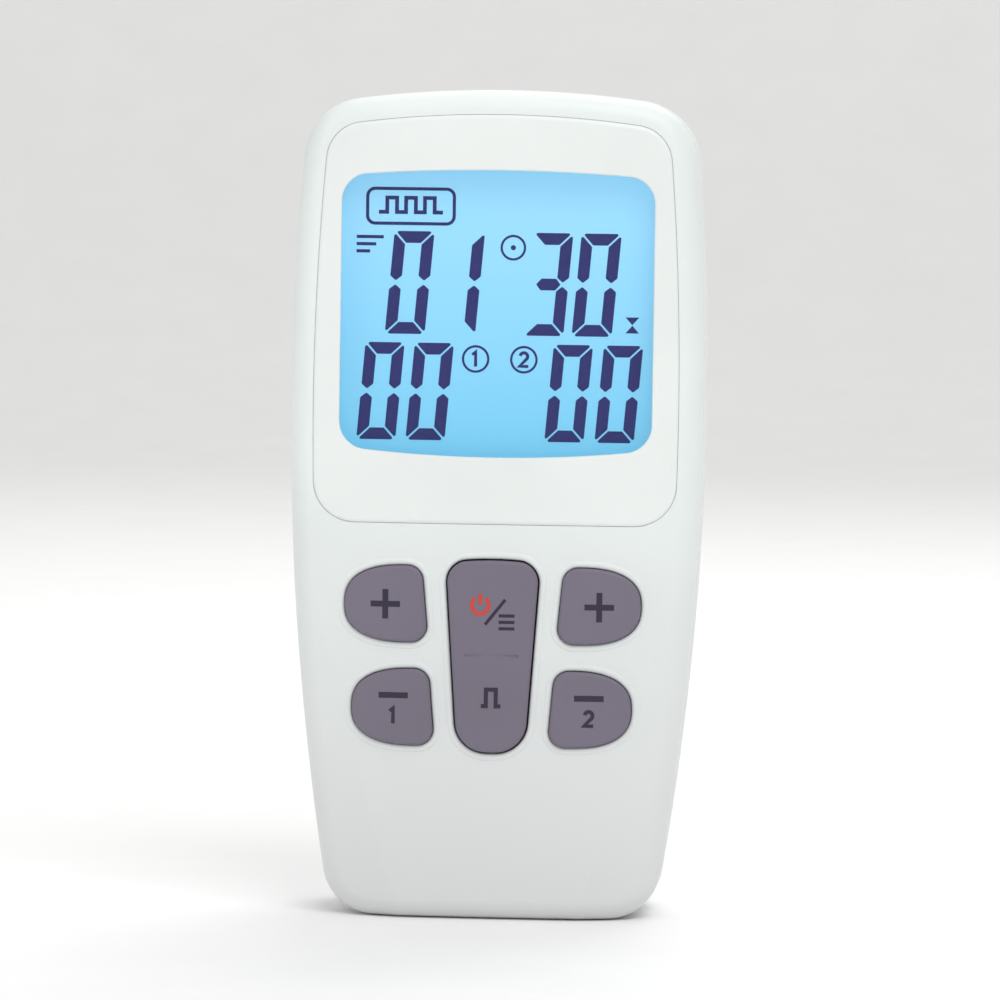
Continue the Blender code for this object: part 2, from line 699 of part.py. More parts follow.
def keys():
    """Four sprung keys, the rocker, the silicone mat and the domes on the board."""
    domes = {"mode_upper": (0, ROCKER_Z + DOME_REACH), "mode_lower": (0, ROCKER_Z - DOME_REACH)}
    for channel, side in (("ch1", -1), ("ch2", 1)):
        for kind, outline, (x, z) in (("plus", plus_key, PLUS_CENTRE), ("minus", minus_key, MINUS_CENTRE)):
            name = f"{channel}_{kind}"
            drawn = partial(outline, side)
            key(f"key_{name}", drawn, (side * x, FRONT, z), KEY_STEM_GROW)
            domes[name] = (side * x, z)
    key("key_mode", centre_key, (0, KEY_AXIS_Y, ROCKER_Z), ROCKER_STEM_GROW)
    mat = rectangle(20.4 * MM, 20.8 * MM, 49.4 * MM, 1.5 * MM, corner_steps=2)
    add("keypad_mat", prism(mat, MAT_FRONT, MAT_FRONT + MAT_T), SILICONE)
    dome_front = MAT_FRONT + MAT_T + GAP
    profile = [(0, 1.0 * MM), (0.2 * MM, 2.4 * MM), (DOME_T, 2.5 * MM)]
    for name, (x, z) in domes.items():
        add(f"dome_{name}", turned(profile, (x, dome_front, z), (0, 1, 0), 12), STEEL)


# ---------------------------------------------------------------- board and its parts


def board():
    """Main board, its screws and the parts on its rear."""
    wide = [(-23.4, 46), (23.4, 46), (23.4, 102), (-23.4, 102)]
    narrow = rectangle(16.9 * MM, 12 * MM, 48 * MM, MM, corner_steps=1)
    upper = rounded_polygon([(x * MM, z * MM) for x, z in wide], [MM] * 4, corner_steps=1)
    plate = add("main_board", prism(upper, BOARD_FRONT, BOARD_BACK), BOARD_GREEN)
    shape(plate, "UNION", [prism(narrow, BOARD_FRONT, BOARD_BACK)], "lower")
    through = (BOARD_FRONT - MM, BOARD_BACK + MM)
    bores = [rod((x, 0, z), 1.2 * MM, *through, (0, 1, 0), 12) for x, z in BOARD_SCREWS]
    shape(plate, "DIFFERENCE", bores, "bores")
    shank = 0.75 * MM
    profile = [(FRONT + 4.2 * MM, shank), (PARTS_Y, shank)]
    profile += [(PARTS_Y, 1.6 * MM), (PARTS_Y + 1.1 * MM, 1.3 * MM)]
    for number, (x, z) in enumerate(BOARD_SCREWS, start=1):
        add(f"board_screw_{number}", turned(profile, (x, 0, z), (0, 1, 0), 10), STEEL)
    chip("microcontroller", (0, 87), (9, 9), 1.4)
    chip("driver_chip", (-13.5, 90), (7, 5), 1.6)
    can = [(x - 13.5 * MM, z) for x, z in rectangle(3.6 * MM, 80.6 * MM, 83.8 * MM, 1.5 * MM)]
    add("crystal", prism(can, PARTS_Y, PARTS_Y + 2.6 * MM), STEEL)
    add("buzzer", turned(buzzer_profile(), (15 * MM, PARTS_Y, 87 * MM), (0, 1, 0), 16), BLACK_PLASTIC)
    for number, side in ((1, -1), (2, 1)):
        can = [(0, 2.9 * MM), (8.5 * MM, 2.9 * MM), (9 * MM, 2.5 * MM)]
        place = (side * 20 * MM, PARTS_Y, 71 * MM)
        add(f"capacitor_{number}", turned(can, place, (0, 1, 0), 12), CELL_WRAP)
        transformer(f"output_transformer_{number}", side * 8.5 * MM)
        socket(number, side * SOCKET_X)


def chip(name, centre, size, thickness):
    """A flat integrated circuit on the board's rear; sizes in mm."""
    x, z = ((centre[i] - size[i] / 2, centre[i] + size[i] / 2) for i in (0, 1))
    spans = [tuple(v * MM for v in pair) for pair in (x, z)]
    add(name, block(spans[0], (PARTS_Y, PARTS_Y + thickness * MM), spans[1], 0.25 * MM), BLACK_PLASTIC)


def buzzer_profile():
    """A drum with a small recess in its rear face."""
    return [(0, 5 * MM), (4.5 * MM, 5 * MM), (4.5 * MM, 1.2 * MM), (3.8 * MM, 1.2 * MM)]


def transformer(name, x):
    """A core with the winding bulging from it."""
    core = block((x - 6.5 * MM, x + 6.5 * MM), (PARTS_Y, PARTS_Y + 8 * MM), (66 * MM, 77 * MM), 0.3 * MM)
    deep = (PARTS_Y + MM, PARTS_Y + 9.5 * MM)
    winding = block((x - 4.2 * MM, x + 4.2 * MM), deep, (64.8 * MM, 78.2 * MM), MM)
    thing = add(name, core, WINDING)
    shape(thing, "UNION", [winding], "winding")


def socket(number, x):
    """One output socket with its bore, and the pin in it."""
    half = 4 * MM
    deep = (PARTS_Y, SOCKET_Y + 3.9 * MM)
    case = block((x - half, x + half), deep, (SOCKET_LOW_Z, SOCKET_HIGH_Z), 0.3 * MM)
    body = add(f"output_socket_{number}", case, BLACK_PLASTIC)
    centre = (x, SOCKET_Y, 0)
    nose = rod(centre, SOCKET_NOSE_R, SOCKET_HIGH_Z - MM, SOCKET_MOUTH_Z, (0, 0, 1), 24)
    shape(body, "UNION", [nose], "nose")
    pin_bore_r = SOCKET_PIN_R + 0.1 * MM
    floor = 99 * MM
    profile = [(floor - 2 * MM, pin_bore_r), (floor, pin_bore_r)]
    profile += [(floor, SOCKET_BORE_R), (HEIGHT, SOCKET_BORE_R)]
    shape(body, "DIFFERENCE", [turned(profile, centre, (0, 0, 1), 20)], "bore")
    tip = 107 * MM
    pin = [(floor - 1.8 * MM, SOCKET_PIN_R), (tip, SOCKET_PIN_R), (tip + 0.7 * MM, 0.45 * MM)]
    add(f"socket_pin_{number}", turned(pin, centre, (0, 0, 1), 12), STEEL)


# ---------------------------------------------------------------- cells and contacts


def cells():
    """Three cells side by side, with springs at their negative ends, contacts and wires."""
    low_plate = BAY_LOW_Z + GAP
    high_plate = BAY_HIGH_Z - GAP - CONTACT_T
    spring_length = BAY_HIGH_Z - BAY_LOW_Z - CELL_LENGTH - 2 * CONTACT_T - 5 * GAP
    for number, column in enumerate((-1, 0, 1), start=1):
        up = column != 0
        x = column * CELL_PITCH
        low_z = low_plate + CONTACT_T + GAP
        start = low_z + spring_length + GAP if up else low_z
        cell(f"battery_{number}", x, start, up)
        spring_z = low_z if up else start + CELL_LENGTH + GAP
        add(f"battery_spring_{number}", cell_spring(x, spring_z, spring_length), STEEL)
    half = 4.6 * MM
    contact("contact_positive", (-CELL_PITCH - half, -CELL_PITCH + half), high_plate, (-CELL_PITCH, 1))
    contact("contact_negative", (CELL_PITCH - half, CELL_PITCH + half), low_plate, (CELL_PITCH, -1))
    contact("contact_link_top", (-half, CELL_PITCH + half), high_plate)
    contact("contact_link_bottom", (-CELL_PITCH - half, half), low_plate)
    wires()


def wires():
    """Insulated wires from the two contact tabs to the board's rear."""
    tab_y = -2.3 * MM
    rear = PARTS_Y + 0.75 * MM
    over = BAY_HIGH_Z + BAY_WALL + 1.6 * MM
    x = -CELL_PITCH
    wire = [(x, tab_y, over), (x, -3.4 * MM, over + 0.6 * MM), (x, rear, over + 0.4 * MM)]
    wire += [(x - 3 * MM, rear, over - 2 * MM), (x - 4 * MM, rear, over - 5 * MM)]
    add("wire_positive", swept(wire, WIRE_R), RED_WIRE)
    under = BAY_LOW_Z - BAY_WALL - 1.9 * MM
    x = CELL_PITCH
    wire = [(x, tab_y, under), (x, -3.6 * MM, under - 0.3 * MM), (x, rear, under + MM)]
    wire += [(x, rear, 9 * MM), (x, rear, 14 * MM)]
    add("wire_negative", swept(wire, WIRE_R), BLACK_WIRE)


def cell(name, x, start, up):
    """An AAA cell along Z with its nub at one end."""
    body = CELL_LENGTH - 0.9 * MM
    edge = CELL_R - 0.4 * MM
    nub = 1.9 * MM
    profile = [(0, edge), (0.4 * MM, CELL_R), (body - 0.4 * MM, CELL_R), (body, edge)]
    profile += [(body, nub), (CELL_LENGTH, nub)]
    if not up:
        profile = [(CELL_LENGTH - along, radius) for along, radius in reversed(profile)]
    add(name, turned(profile, (x, CELL_Y, start), (0, 0, 1), 18), CELL_WRAP)


def cell_spring(x, z, length):
    """A coil spring along Z."""
    wire = 0.3 * MM
    radius = 3.2 * MM
    turns = 3.5
    steps = 10
    path = []
    for i in range(int(turns * steps) + 1):
        angle = 2 * math.pi * i / steps
        rise = wire + (length - 2 * wire) * i / (turns * steps)
        path.append((x + radius * math.cos(angle), CELL_Y + radius * math.sin(angle), z + rise))
    return swept(path, wire, 5)


def contact(name, x, z, tab=None):
    """A flat contact plate; tab gives the place across and the direction of a tab through the end wall."""
    plate = add(name, block(x, (CELL_Y - 4.4 * MM, CELL_Y + 4.4 * MM), (z, z + CONTACT_T)), STEEL)
    if tab is None:
        return
    tab_x, outward = tab
    reach = z + outward * (BAY_WALL + GAP + 1.1 * MM)
    root = z + CONTACT_T / 2
    span = (min(root, reach), max(root, reach))
    shape(plate, "UNION", [block((tab_x - MM, tab_x + MM), (-2.5 * MM, -2.1 * MM), span)], "tab")


# ---------------------------------------------------------------- door, clip and screws


def battery_door():
    """The battery door with two knuckles at its hinge edge and grip grooves, and its label."""
    low = DOOR_PIVOT_Z + DOOR_CLEAR
    origin = (0, DOOR_PIVOT_Y, DOOR_PIVOT_Z)
    plate = prism(rectangle(DOOR_HALF, low, DOOR_HIGH_Z, MM, corner_steps=2), REAR - DOOR_T, REAR)
    door = add("battery_door", plate, WHITE, origin)
    knuckles = []
    necks = []
    neck = (DOOR_PIVOT_Y - 0.6 * MM, DOOR_PIVOT_Y + 0.6 * MM)
    for x in (-KNUCKLE_X, KNUCKLE_X):
        span = (x - KNUCKLE_HALF, x + KNUCKLE_HALF)
        knuckles.append(rod(origin, KNUCKLE_R, *span, (1, 0, 0), 14))
        necks.append(block(span, neck, (DOOR_PIVOT_Z, low + 0.4 * MM)))
    shape(door, "UNION", knuckles, "knuckles")
    shape(door, "UNION", necks, "necks")
    grip = [rod((0, REAR + 0.9 * MM, z), 1.3 * MM, -6 * MM, 6 * MM, (1, 0, 0), 14) for z in GRIP_Z]
    shape(door, "DIFFERENCE", grip, "grip")
    seat = prism(rectangle(*LABEL_SIZE, 0.2 * MM, corner_steps=3), REAR - 0.5 * MM, REAR + MM)
    shape(door, "DIFFERENCE", [seat], "label_seat")
    label = prism(rectangle(*LABEL_SIZE, corner_steps=3), REAR - 0.35 * MM, REAR - 0.1 * MM)
    add("rating_label", label, LABEL, origin)


def clip_profile():
    """Side view (y, z) of the clip's blade: thumb end, straight run and a tongue near the case."""
    middle = REAR + CLIP_GAP + CLIP_T / 2
    centre_line = [(middle, 104 * MM), (middle, 76 * MM)]
    centre_line += [(REAR + CLIP_GAP + 0.2 * MM, 72 * MM), (REAR + 2.0 * MM, 68 * MM)]
    centre_line += [(REAR + 1.3 * MM, 66.8 * MM), (REAR + 1.9 * MM, 65.4 * MM), (REAR + 3 * MM, 64.6 * MM)]
    outer = []
    inner = []
    for i, point in enumerate(centre_line):
        before = Vector(centre_line[max(i - 1, 0)])
        after = Vector(centre_line[min(i + 1, len(centre_line) - 1)])
        along = (after - before).normalized()
        away = Vector((-along.y, along.x)) * CLIP_T / 2
        outer.append(tuple(Vector(point) + away))
        inner.append(tuple(Vector(point) - away))
    return outer + inner[::-1]


def belt_clip():
    """The sprung clip, its pin and its torsion spring."""
    origin = (0, CLIP_PIN_Y, CLIP_PIN_Z)
    profile = clip_profile()
    blade = loft([[(side * CLIP_HALF, y, z) for y, z in profile] for side in (-1, 1)])
    clip = add("belt_clip", blade, WHITE, origin)
    ears = []
    root = REAR + CLIP_GAP + CLIP_T / 2
    outline = [(root, CLIP_PIN_Z + EAR_HALF_Z), (root, CLIP_PIN_Z - EAR_HALF_Z)]
    outline += arc((CLIP_PIN_Y, CLIP_PIN_Z), EAR_R, math.radians(230), math.radians(130), 6)
    for x in (-CLIP_EAR_X, CLIP_EAR_X):
        ears.append(loft([[(x + side * EAR_HALF_T, y, z) for y, z in outline] for side in (-1, 1)]))
    shape(clip, "UNION", ears, "ears")
    shape(clip, "DIFFERENCE", [clip_pin_hole(10 * MM)], "pin_hole")
    reach = CLIP_EAR_X + EAR_HALF_T
    add("clip_pin", rod(origin, CLIP_PIN_R, -reach, reach, (1, 0, 0)), STEEL)
    coil_r = 1.25 * MM
    half = 3.2 * MM
    steps = 40
    path = []
    for i in range(steps + 1):
        angle = 2 * math.pi * i / 10
        x = -half + 2 * half * i / steps
        path.append((x, CLIP_PIN_Y + coil_r * math.cos(angle), CLIP_PIN_Z + coil_r * math.sin(angle)))
    add("clip_spring", swept(path, 0.25 * MM, 5), STEEL)


def case_screws():
    """Four round-head screws with a driver recess, from the rear shell into the front shell."""
    seat = REAR - SCREW_SEAT_DEPTH + GAP
    top = seat + 1.5 * MM
    tip = FRONT + 5.8 * MM
    profile = [(tip, 0.4 * MM), (tip + MM, 1.0 * MM), (seat, 1.0 * MM), (seat, HEAD_R)]
    profile += [(top - 0.5 * MM, HEAD_R), (top, 1.3 * MM), (top, 0.75 * MM), (top - 0.8 * MM, 0.6 * MM)]
    for number, (x, z) in enumerate(CASE_SCREWS, start=1):
        add(f"case_screw_{number}", turned(profile, (x, 0, z), (0, 1, 0), 14), STEEL)


# ---------------------------------------------------------------- the whole unit


def clear_scene():
    """Start from an empty scene."""
    for thing in list(bpy.data.objects):
        bpy.data.objects.remove(thing, do_unlink=True)


def main():
    """Build every sub-part."""
    clear_scene()
    front_shell()
    rear_shell()
    display()
    keys()
    board()
    cells()
    battery_door()
    belt_clip()
    case_screws()


main()
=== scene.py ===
"""The TENS unit's looks: fine housing, display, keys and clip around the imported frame."""

import json
import math
from functools import partial

import bmesh
import bpy
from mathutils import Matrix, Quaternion, Vector


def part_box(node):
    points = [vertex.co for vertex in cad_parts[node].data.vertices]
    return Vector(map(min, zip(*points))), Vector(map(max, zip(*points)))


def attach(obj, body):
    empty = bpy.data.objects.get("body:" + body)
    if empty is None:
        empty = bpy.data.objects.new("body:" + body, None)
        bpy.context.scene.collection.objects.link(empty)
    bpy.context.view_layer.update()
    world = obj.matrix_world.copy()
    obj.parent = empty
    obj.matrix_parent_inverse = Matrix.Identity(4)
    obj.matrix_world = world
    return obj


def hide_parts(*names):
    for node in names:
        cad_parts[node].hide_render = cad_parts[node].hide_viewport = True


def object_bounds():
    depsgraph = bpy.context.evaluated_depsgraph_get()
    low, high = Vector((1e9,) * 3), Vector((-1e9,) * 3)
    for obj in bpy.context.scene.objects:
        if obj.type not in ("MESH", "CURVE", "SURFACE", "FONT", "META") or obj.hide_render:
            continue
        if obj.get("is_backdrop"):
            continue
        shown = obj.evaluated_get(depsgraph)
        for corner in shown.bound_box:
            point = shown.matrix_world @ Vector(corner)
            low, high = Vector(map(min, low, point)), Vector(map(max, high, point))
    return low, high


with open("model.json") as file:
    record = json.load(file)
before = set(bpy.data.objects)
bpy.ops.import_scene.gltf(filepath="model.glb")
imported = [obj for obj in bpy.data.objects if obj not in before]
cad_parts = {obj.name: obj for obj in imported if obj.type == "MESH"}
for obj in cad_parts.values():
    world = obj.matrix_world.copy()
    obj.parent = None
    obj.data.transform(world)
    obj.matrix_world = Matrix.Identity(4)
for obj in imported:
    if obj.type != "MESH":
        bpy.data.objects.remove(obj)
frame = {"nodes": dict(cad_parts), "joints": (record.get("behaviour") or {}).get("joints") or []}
CAD_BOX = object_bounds()

MM = 0.001
X_AXIS, Y_AXIS, Z_AXIS = (1, 0, 0), (0, 1, 0), (0, 0, 1)

# Places read from the frame
REAR_LOW, REAR_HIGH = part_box("rear_shell")
DOOR_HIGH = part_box("battery_door")[1]
JOINTS = {joint["name"]: joint for joint in frame["joints"]}

# Housing, as in the frame
HEIGHT = REAR_HIGH.z
HALF_WIDTH = REAR_HIGH.x + 0.02 * MM
WIDEST_Z = 68 * MM
SIDE_R = 400 * MM
TOP_R = 145 * MM
TOP_CORNER_R = 8.5 * MM
BASE_CORNER_R = 7 * MM
WALL = 2 * MM
FRONT_EDGE_R = 2.6 * MM
REAR_EDGE_R = 3.5 * MM
SHELL_STEP = 0.2 * MM
PARTING_EDGE = 0.15 * MM
REAR = DOOR_HIGH.y
FRONT = REAR - 24 * MM
PARTING_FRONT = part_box("front_shell")[1].y
PARTING_REAR = REAR_LOW.y

# Shading: where smooth turns sharp, the height where the painted shade at the base fades out, the reach of
# edge wear, and how near a point on the face lies
SHARP_ANGLE = math.radians(32)
PAINTED_SHADE_TOP_Z = 62 * MM
EDGE_REACH = 0.25 * MM
ON_FACE = 0.005 * MM

# Front face
CROWN_X_R = 260 * MM
CROWN_Z_R = 3000 * MM
CROWN_Z = 50 * MM
BEVEL_SLOPE = 0.22
BEVEL_WIDTH = 2.9 * MM
CREASE_X = 13.8 * MM
CREASE_Z = 6 * MM
CREASE_SLOPE = 0.27
SPINE = (30 * MM, 85 * MM)

# Display
BEZEL_INSET = 3.4 * MM
BEZEL_BASE_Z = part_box("display_bezel")[0].z
BEZEL_CORNER_R = 5.5 * MM
BEZEL_PROUD = 0.3 * MM
WINDOW_HALF = 20.6 * MM
WINDOW_LOW_Z = 62.7 * MM
WINDOW_HIGH_Z = 98.3 * MM
WINDOW_R = 3.2 * MM
WINDOW_BOW_UP = 0.9 * MM
WINDOW_BOW_DOWN = 1.2 * MM
FACE_CENTRE = (0.0, 80 * MM)
FACE_SPINE = (72 * MM, 88 * MM)
SURROUND_GAP = 0.03 * MM
GLASS_LOW, GLASS_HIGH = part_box("lcd_glass")

# Keys: each D is (inner edge at its top, inner edge at its bottom, outer end, bottom, top)
PLUS_KEY = (9.25 * MM, 8.7 * MM, 19.6 * MM, 36.9 * MM, 47.0 * MM)
MINUS_KEY = (8.2 * MM, 7.7 * MM, 18.5 * MM, 23.2 * MM, 33.3 * MM)
KEY_END_POWER = 2 / 2.5
KEY_TOP = -0.78 * MM
KEY_CORNER_R = 2.1 * MM
ROCKER_TOP_HALF = 6.15 * MM
ROCKER_LOW_HALF = 4.45 * MM
ROCKER_LOW_Z = 22.4 * MM
ROCKER_HIGH_Z = 47.4 * MM
ROCKER_TOP_R = 2.4 * MM
ROCKER_LOW_R = 4.1 * MM
ROCKER_BOW = 0.45 * MM
ROCKER_BOW_FROM_Z = 44 * MM
FLANGE_FRONT = FRONT + 3.6 * MM
FLANGE_BACK = FRONT + 4.2 * MM
STEM_BACK = FRONT + 4.5 * MM
KEY_SLIT = 0.06 * MM
ROCKER_SLIT = 0.2 * MM

# Battery door, sockets, screws and clip
DOOR_SILL_Z = 6.0 * MM
DOOR_LIP = 0.45 * MM
DOOR_GAP = 0.3 * MM
KNUCKLE_R = 0.85 * MM
KNUCKLE_X = 12 * MM
KNUCKLE_HALF = 2.5 * MM
BAY_HALF = 16.3 * MM
BAY_LOW_Z = 7.1 * MM
BAY_HIGH_Z = 59.4 * MM
BAY_FRONT = -3.4 * MM
BAY_WALL = 1.2 * MM
SCREW_PAIRS = [(17 * MM, 104.4 * MM), (19.9 * MM, 14.5 * MM)]
CASE_SCREWS = [(side * x, z) for x, z in SCREW_PAIRS for side in (-1, 1)]
SCREW_HEAD_R = 2.1 * MM
SOCKET_X = 9 * MM
SOCKET_Y = -0.4 * MM
SOCKET_NOSE_R = 3.2 * MM
SOCKET_SHOULDER_Z = 107.2 * MM
SOCKET_FLOOR_Z = 99 * MM
CLIP_T = 1.6 * MM
CLIP_HALF = 9 * MM
DOOR_PIVOT = Vector(JOINTS["battery_door_hinge"]["pos_m"])
CLIP_PIVOT = Vector(JOINTS["belt_clip_hinge"]["pos_m"])
CLIP_LOW, CLIP_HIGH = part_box("belt_clip")


# ---- outlines, as (x, z) points


def arc(centre, radius, start, end, steps):
    """Points on an arc, both ends included."""
    angles = [start + (end - start) * i / steps for i in range(steps + 1)]
    return [(centre[0] + radius * math.cos(a), centre[1] + radius * math.sin(a)) for a in angles]


def circle(centre, radius, count):
    """Points round a circle."""
    return arc(centre, radius, 0, 2 * math.pi * (count - 1) / count, count - 1)


def quarter(steps, first=1):
    """Pairs (1 - cosine, 1 - sine) at equal steps through a quarter turn, for rounded edges."""
    turns = [math.radians(90 * i / steps) for i in range(first, steps + 1)]
    return [(1 - math.cos(a), 1 - math.sin(a)) for a in turns]


def in_mm(points):
    """Points given in millimetres, in metres."""
    return [(x * MM, z * MM) for x, z in points]


def half_width(z):
    """Half the width of the housing at height z."""
    return HALF_WIDTH - SIDE_R + math.sqrt(SIDE_R**2 - (z - WIDEST_Z) ** 2)


def top_corner(inset, radius):
    """Centre of the corner arc that touches both the side arc and the top arc."""
    side = Vector((HALF_WIDTH - SIDE_R, WIDEST_Z))
    top = Vector((0, HEIGHT - TOP_R))
    reach_side = SIDE_R - inset - radius
    reach_top = TOP_R - inset - radius
    across = top - side
    length = across.length
    along = (reach_side**2 - reach_top**2 + length**2) / (2 * length)
    off = math.sqrt(reach_side**2 - along**2)
    unit = across / length
    return side + unit * along + Vector((-unit.y, unit.x)) * off


def housing_outline(inset=0.0, base=None, base_corner=BASE_CORNER_R, corner_steps=12, side_steps=70):
    """Anticlockwise outline of the housing, drawn in by inset, with its flat base at height base."""
    base = inset if base is None else base
    low_r = max(base_corner - inset, 0.6 * MM)
    high_r = max(TOP_CORNER_R - inset, 0.6 * MM)
    side = (HALF_WIDTH - SIDE_R, WIDEST_Z)
    side_r = SIDE_R - inset
    low_z = base + low_r
    low = (side[0] + math.sqrt((side_r - low_r) ** 2 - (low_z - WIDEST_Z) ** 2), low_z)
    high = top_corner(inset, high_r)
    low_turn = math.atan2(low[1] - side[1], low[0] - side[0])
    high_turn = math.atan2(high[1] - side[1], high[0] - side[0])
    top = (0, HEIGHT - TOP_R)
    top_turn = math.atan2(high[1] - top[1], high[0] - top[0])
    base_steps = side_steps // 4
    right = [(low[0] * i / base_steps, base) for i in range(base_steps)]
    right += arc(low, low_r, -math.pi / 2, low_turn, corner_steps)
    right += arc(side, side_r, low_turn, high_turn, side_steps)[1:-1]
    right += arc(high, high_r, high_turn, top_turn, corner_steps)
    right += arc(top, TOP_R - inset, top_turn, math.pi / 2, side_steps // 4)[1:]
    left = [(-x, z) for x, z in right[-2:0:-1]]
    return right + left


def rounded_polygon(corners, radii, grow=0.0, corner_steps=10, side_steps=6):
    """Anticlockwise convex outline with round corners, each side moved outward by grow."""
    points = []
    count = len(corners)
    for i, radius in enumerate(radii):
        here = Vector(corners[i])
        back = (Vector(corners[i - 1]) - here).normalized()
        ahead = (Vector(corners[(i + 1) % count]) - here).normalized()
        centre = here + (back + ahead).normalized() * radius / math.sin(back.angle(ahead) / 2)
        start = math.atan2(back.x, -back.y)
        end = math.atan2(-ahead.x, ahead.y)
        turn = (end - start) % (2 * math.pi)
        points.append(arc(centre, max(radius + grow, 0.02 * MM), start, start + turn, corner_steps))
    outline = []
    for i, corner in enumerate(points):
        outline += corner
        first = Vector(corner[-1])
        last = Vector(points[(i + 1) % count][0])
        outline += [tuple(first.lerp(last, s / side_steps)) for s in range(1, side_steps)]
    return outline


def rectangle(half, low, high, radius, grow=0.0, corner_steps=10, side_steps=6, middle=0.0):
    """Round-cornered rectangle."""
    corners = [(middle - half, low), (middle + half, low), (middle + half, high), (middle - half, high)]
    return rounded_polygon(corners, [radius] * 4, grow, corner_steps, side_steps)


def window_outline(grow=0.0):
    """The display window, with its upper and lower edges bowed."""
    middle = (WINDOW_LOW_Z + WINDOW_HIGH_Z) / 2
    reach = (WINDOW_HIGH_Z - WINDOW_LOW_Z) / 2
    out = []
    for x, z in rectangle(WINDOW_HALF, WINDOW_LOW_Z, WINDOW_HIGH_Z, WINDOW_R, grow, side_steps=20):
        bow = WINDOW_BOW_UP if z > middle else WINDOW_BOW_DOWN
        out.append((x, z + bow * (1 - min(1.0, (x / WINDOW_HALF) ** 2)) * (z - middle) / reach))
    return out


def inner_wall(edge=0.0):
    """The inside of the housing's wall, drawn in by edge."""
    return housing_outline(WALL + edge, corner_steps=6, side_steps=12)


def bezel_outline(grow=0.0):
    """The display surround."""
    corner = BEZEL_CORNER_R + BEZEL_INSET
    return housing_outline(BEZEL_INSET - grow, BEZEL_BASE_Z - grow, corner, corner_steps=11, side_steps=60)


def spread(points, count, centre=FACE_CENTRE):
    """The outline sampled at equal angles about a point inside it."""
    full = 2 * math.pi
    turns = []
    for x, z in points:
        turns.append((math.atan2(z - centre[1], x - centre[0]) % full, x, z))
    turns.sort()
    (first, *start), (last, *end) = turns[0], turns[-1]
    turns = [(last - full, *end)] + turns + [(first + full, *start)]
    out = []
    place = 0
    for i in range(count):
        angle = full * i / count
        while turns[place + 1][0] < angle:
            place += 1
        (x0, z0), (x1, z1) = turns[place][1:], turns[place + 1][1:]
        dx, dz = math.cos(angle), math.sin(angle)
        ex, ez = x1 - x0, z1 - z0
        cross = dx * ez - dz * ex
        if abs(cross) < 1e-15:
            out.append((x0, z0))
            continue
        reach = ((x0 - centre[0]) * ez - (z0 - centre[1]) * ex) / cross
        out.append((centre[0] + dx * reach, centre[1] + dz * reach))
    return out


def round_key(side, size, grow=0.0):
    """A D-shaped key: straight towards the middle of the unit and half a full ellipse on its outer side."""
    inner_top, inner_low, outer, low, high = size
    corner = max(KEY_CORNER_R, 0.1 * MM - grow)
    radius = corner + grow
    centre = (inner_top + corner, (low + high) / 2)
    wide = outer - centre[0] + grow
    tall = (high - low) / 2 + grow
    points = arc((inner_low + corner, low + corner), radius, math.pi, math.pi * 1.5, 10)
    for turn in range(-87, 90, 3):
        angle = math.radians(turn)
        across = math.cos(angle) ** KEY_END_POWER
        up = math.copysign(abs(math.sin(angle)) ** KEY_END_POWER, angle)
        points.append((centre[0] + wide * across, centre[1] + tall * up))
    points += arc((centre[0], high - corner), radius, math.pi / 2, math.pi, 10)
    first = Vector(points[-1])
    points += [tuple(first.lerp(Vector(points[0]), step / 6)) for step in range(1, 6)]
    return points if side > 0 else [(-x, z) for x, z in reversed(points)]


def centre_key(grow=0.0):
    """The long key: bowed at its top, narrower and round at its lower end."""
    low = [(-ROCKER_LOW_HALF, ROCKER_LOW_Z), (ROCKER_LOW_HALF, ROCKER_LOW_Z)]
    high = [(ROCKER_TOP_HALF, ROCKER_HIGH_Z), (-ROCKER_TOP_HALF, ROCKER_HIGH_Z)]
    out = []
    for x, z in rounded_polygon(low + high, [ROCKER_LOW_R] * 2 + [ROCKER_TOP_R] * 2, grow):
        bow = ROCKER_BOW * max(0.0, 1 - (x / ROCKER_TOP_HALF) ** 2)
        out.append((x, z + bow if z > ROCKER_BOW_FROM_Z else z))
    return out


KEY_SHAPES = {
    "key_ch1_plus": partial(round_key, -1, PLUS_KEY),
    "key_ch1_minus": partial(round_key, -1, MINUS_KEY),
    "key_ch2_plus": partial(round_key, 1, PLUS_KEY),
    "key_ch2_minus": partial(round_key, 1, MINUS_KEY),
    "key_mode": centre_key,
}
KEY_SLITS = {name: ROCKER_SLIT if name == "key_mode" else KEY_SLIT for name in KEY_SHAPES}


# ---- the front surface


def crown(x, z):
    """How far the front surface lies behind FRONT at (x, z), without the edge rounding."""
    sag = x * x / (2 * CROWN_X_R) + (z - CROWN_Z) ** 2 / (2 * CROWN_Z_R)
    crease = min(CREASE_X + CREASE_SLOPE * (z - CREASE_Z), half_width(z) - BEVEL_WIDTH)
    return sag + BEVEL_SLOPE * max(0.0, abs(x) - crease)


def on_face(points, offset):
    """3D points on the front surface, moved back by offset."""
    return [(x, FRONT + crown(x, z) + offset, z) for x, z in points]


def at_depth(points, y):
    """3D points of an outline on a plane of constant Y."""
    return [(x, y, z) for x, z in points]


def drawn_in(points, fraction, spine, middle_x=0.0):
    """The outline drawn towards an upright line of the face."""
    out = []
    for x, z in points:
        target = min(max(z, spine[0]), spine[1])
        out.append((x + (middle_x - x) * fraction, z + (target - z) * fraction))
    return out


def face_rings(points, offset, spine, middle_x=0.0, count=12):
    """Rings that fill an outline on the crowned face, from the outline in to its middle."""
    return [on_face(drawn_in(points, i * 0.97 / count, spine, middle_x), offset) for i in range(count + 1)]


# ---- meshes


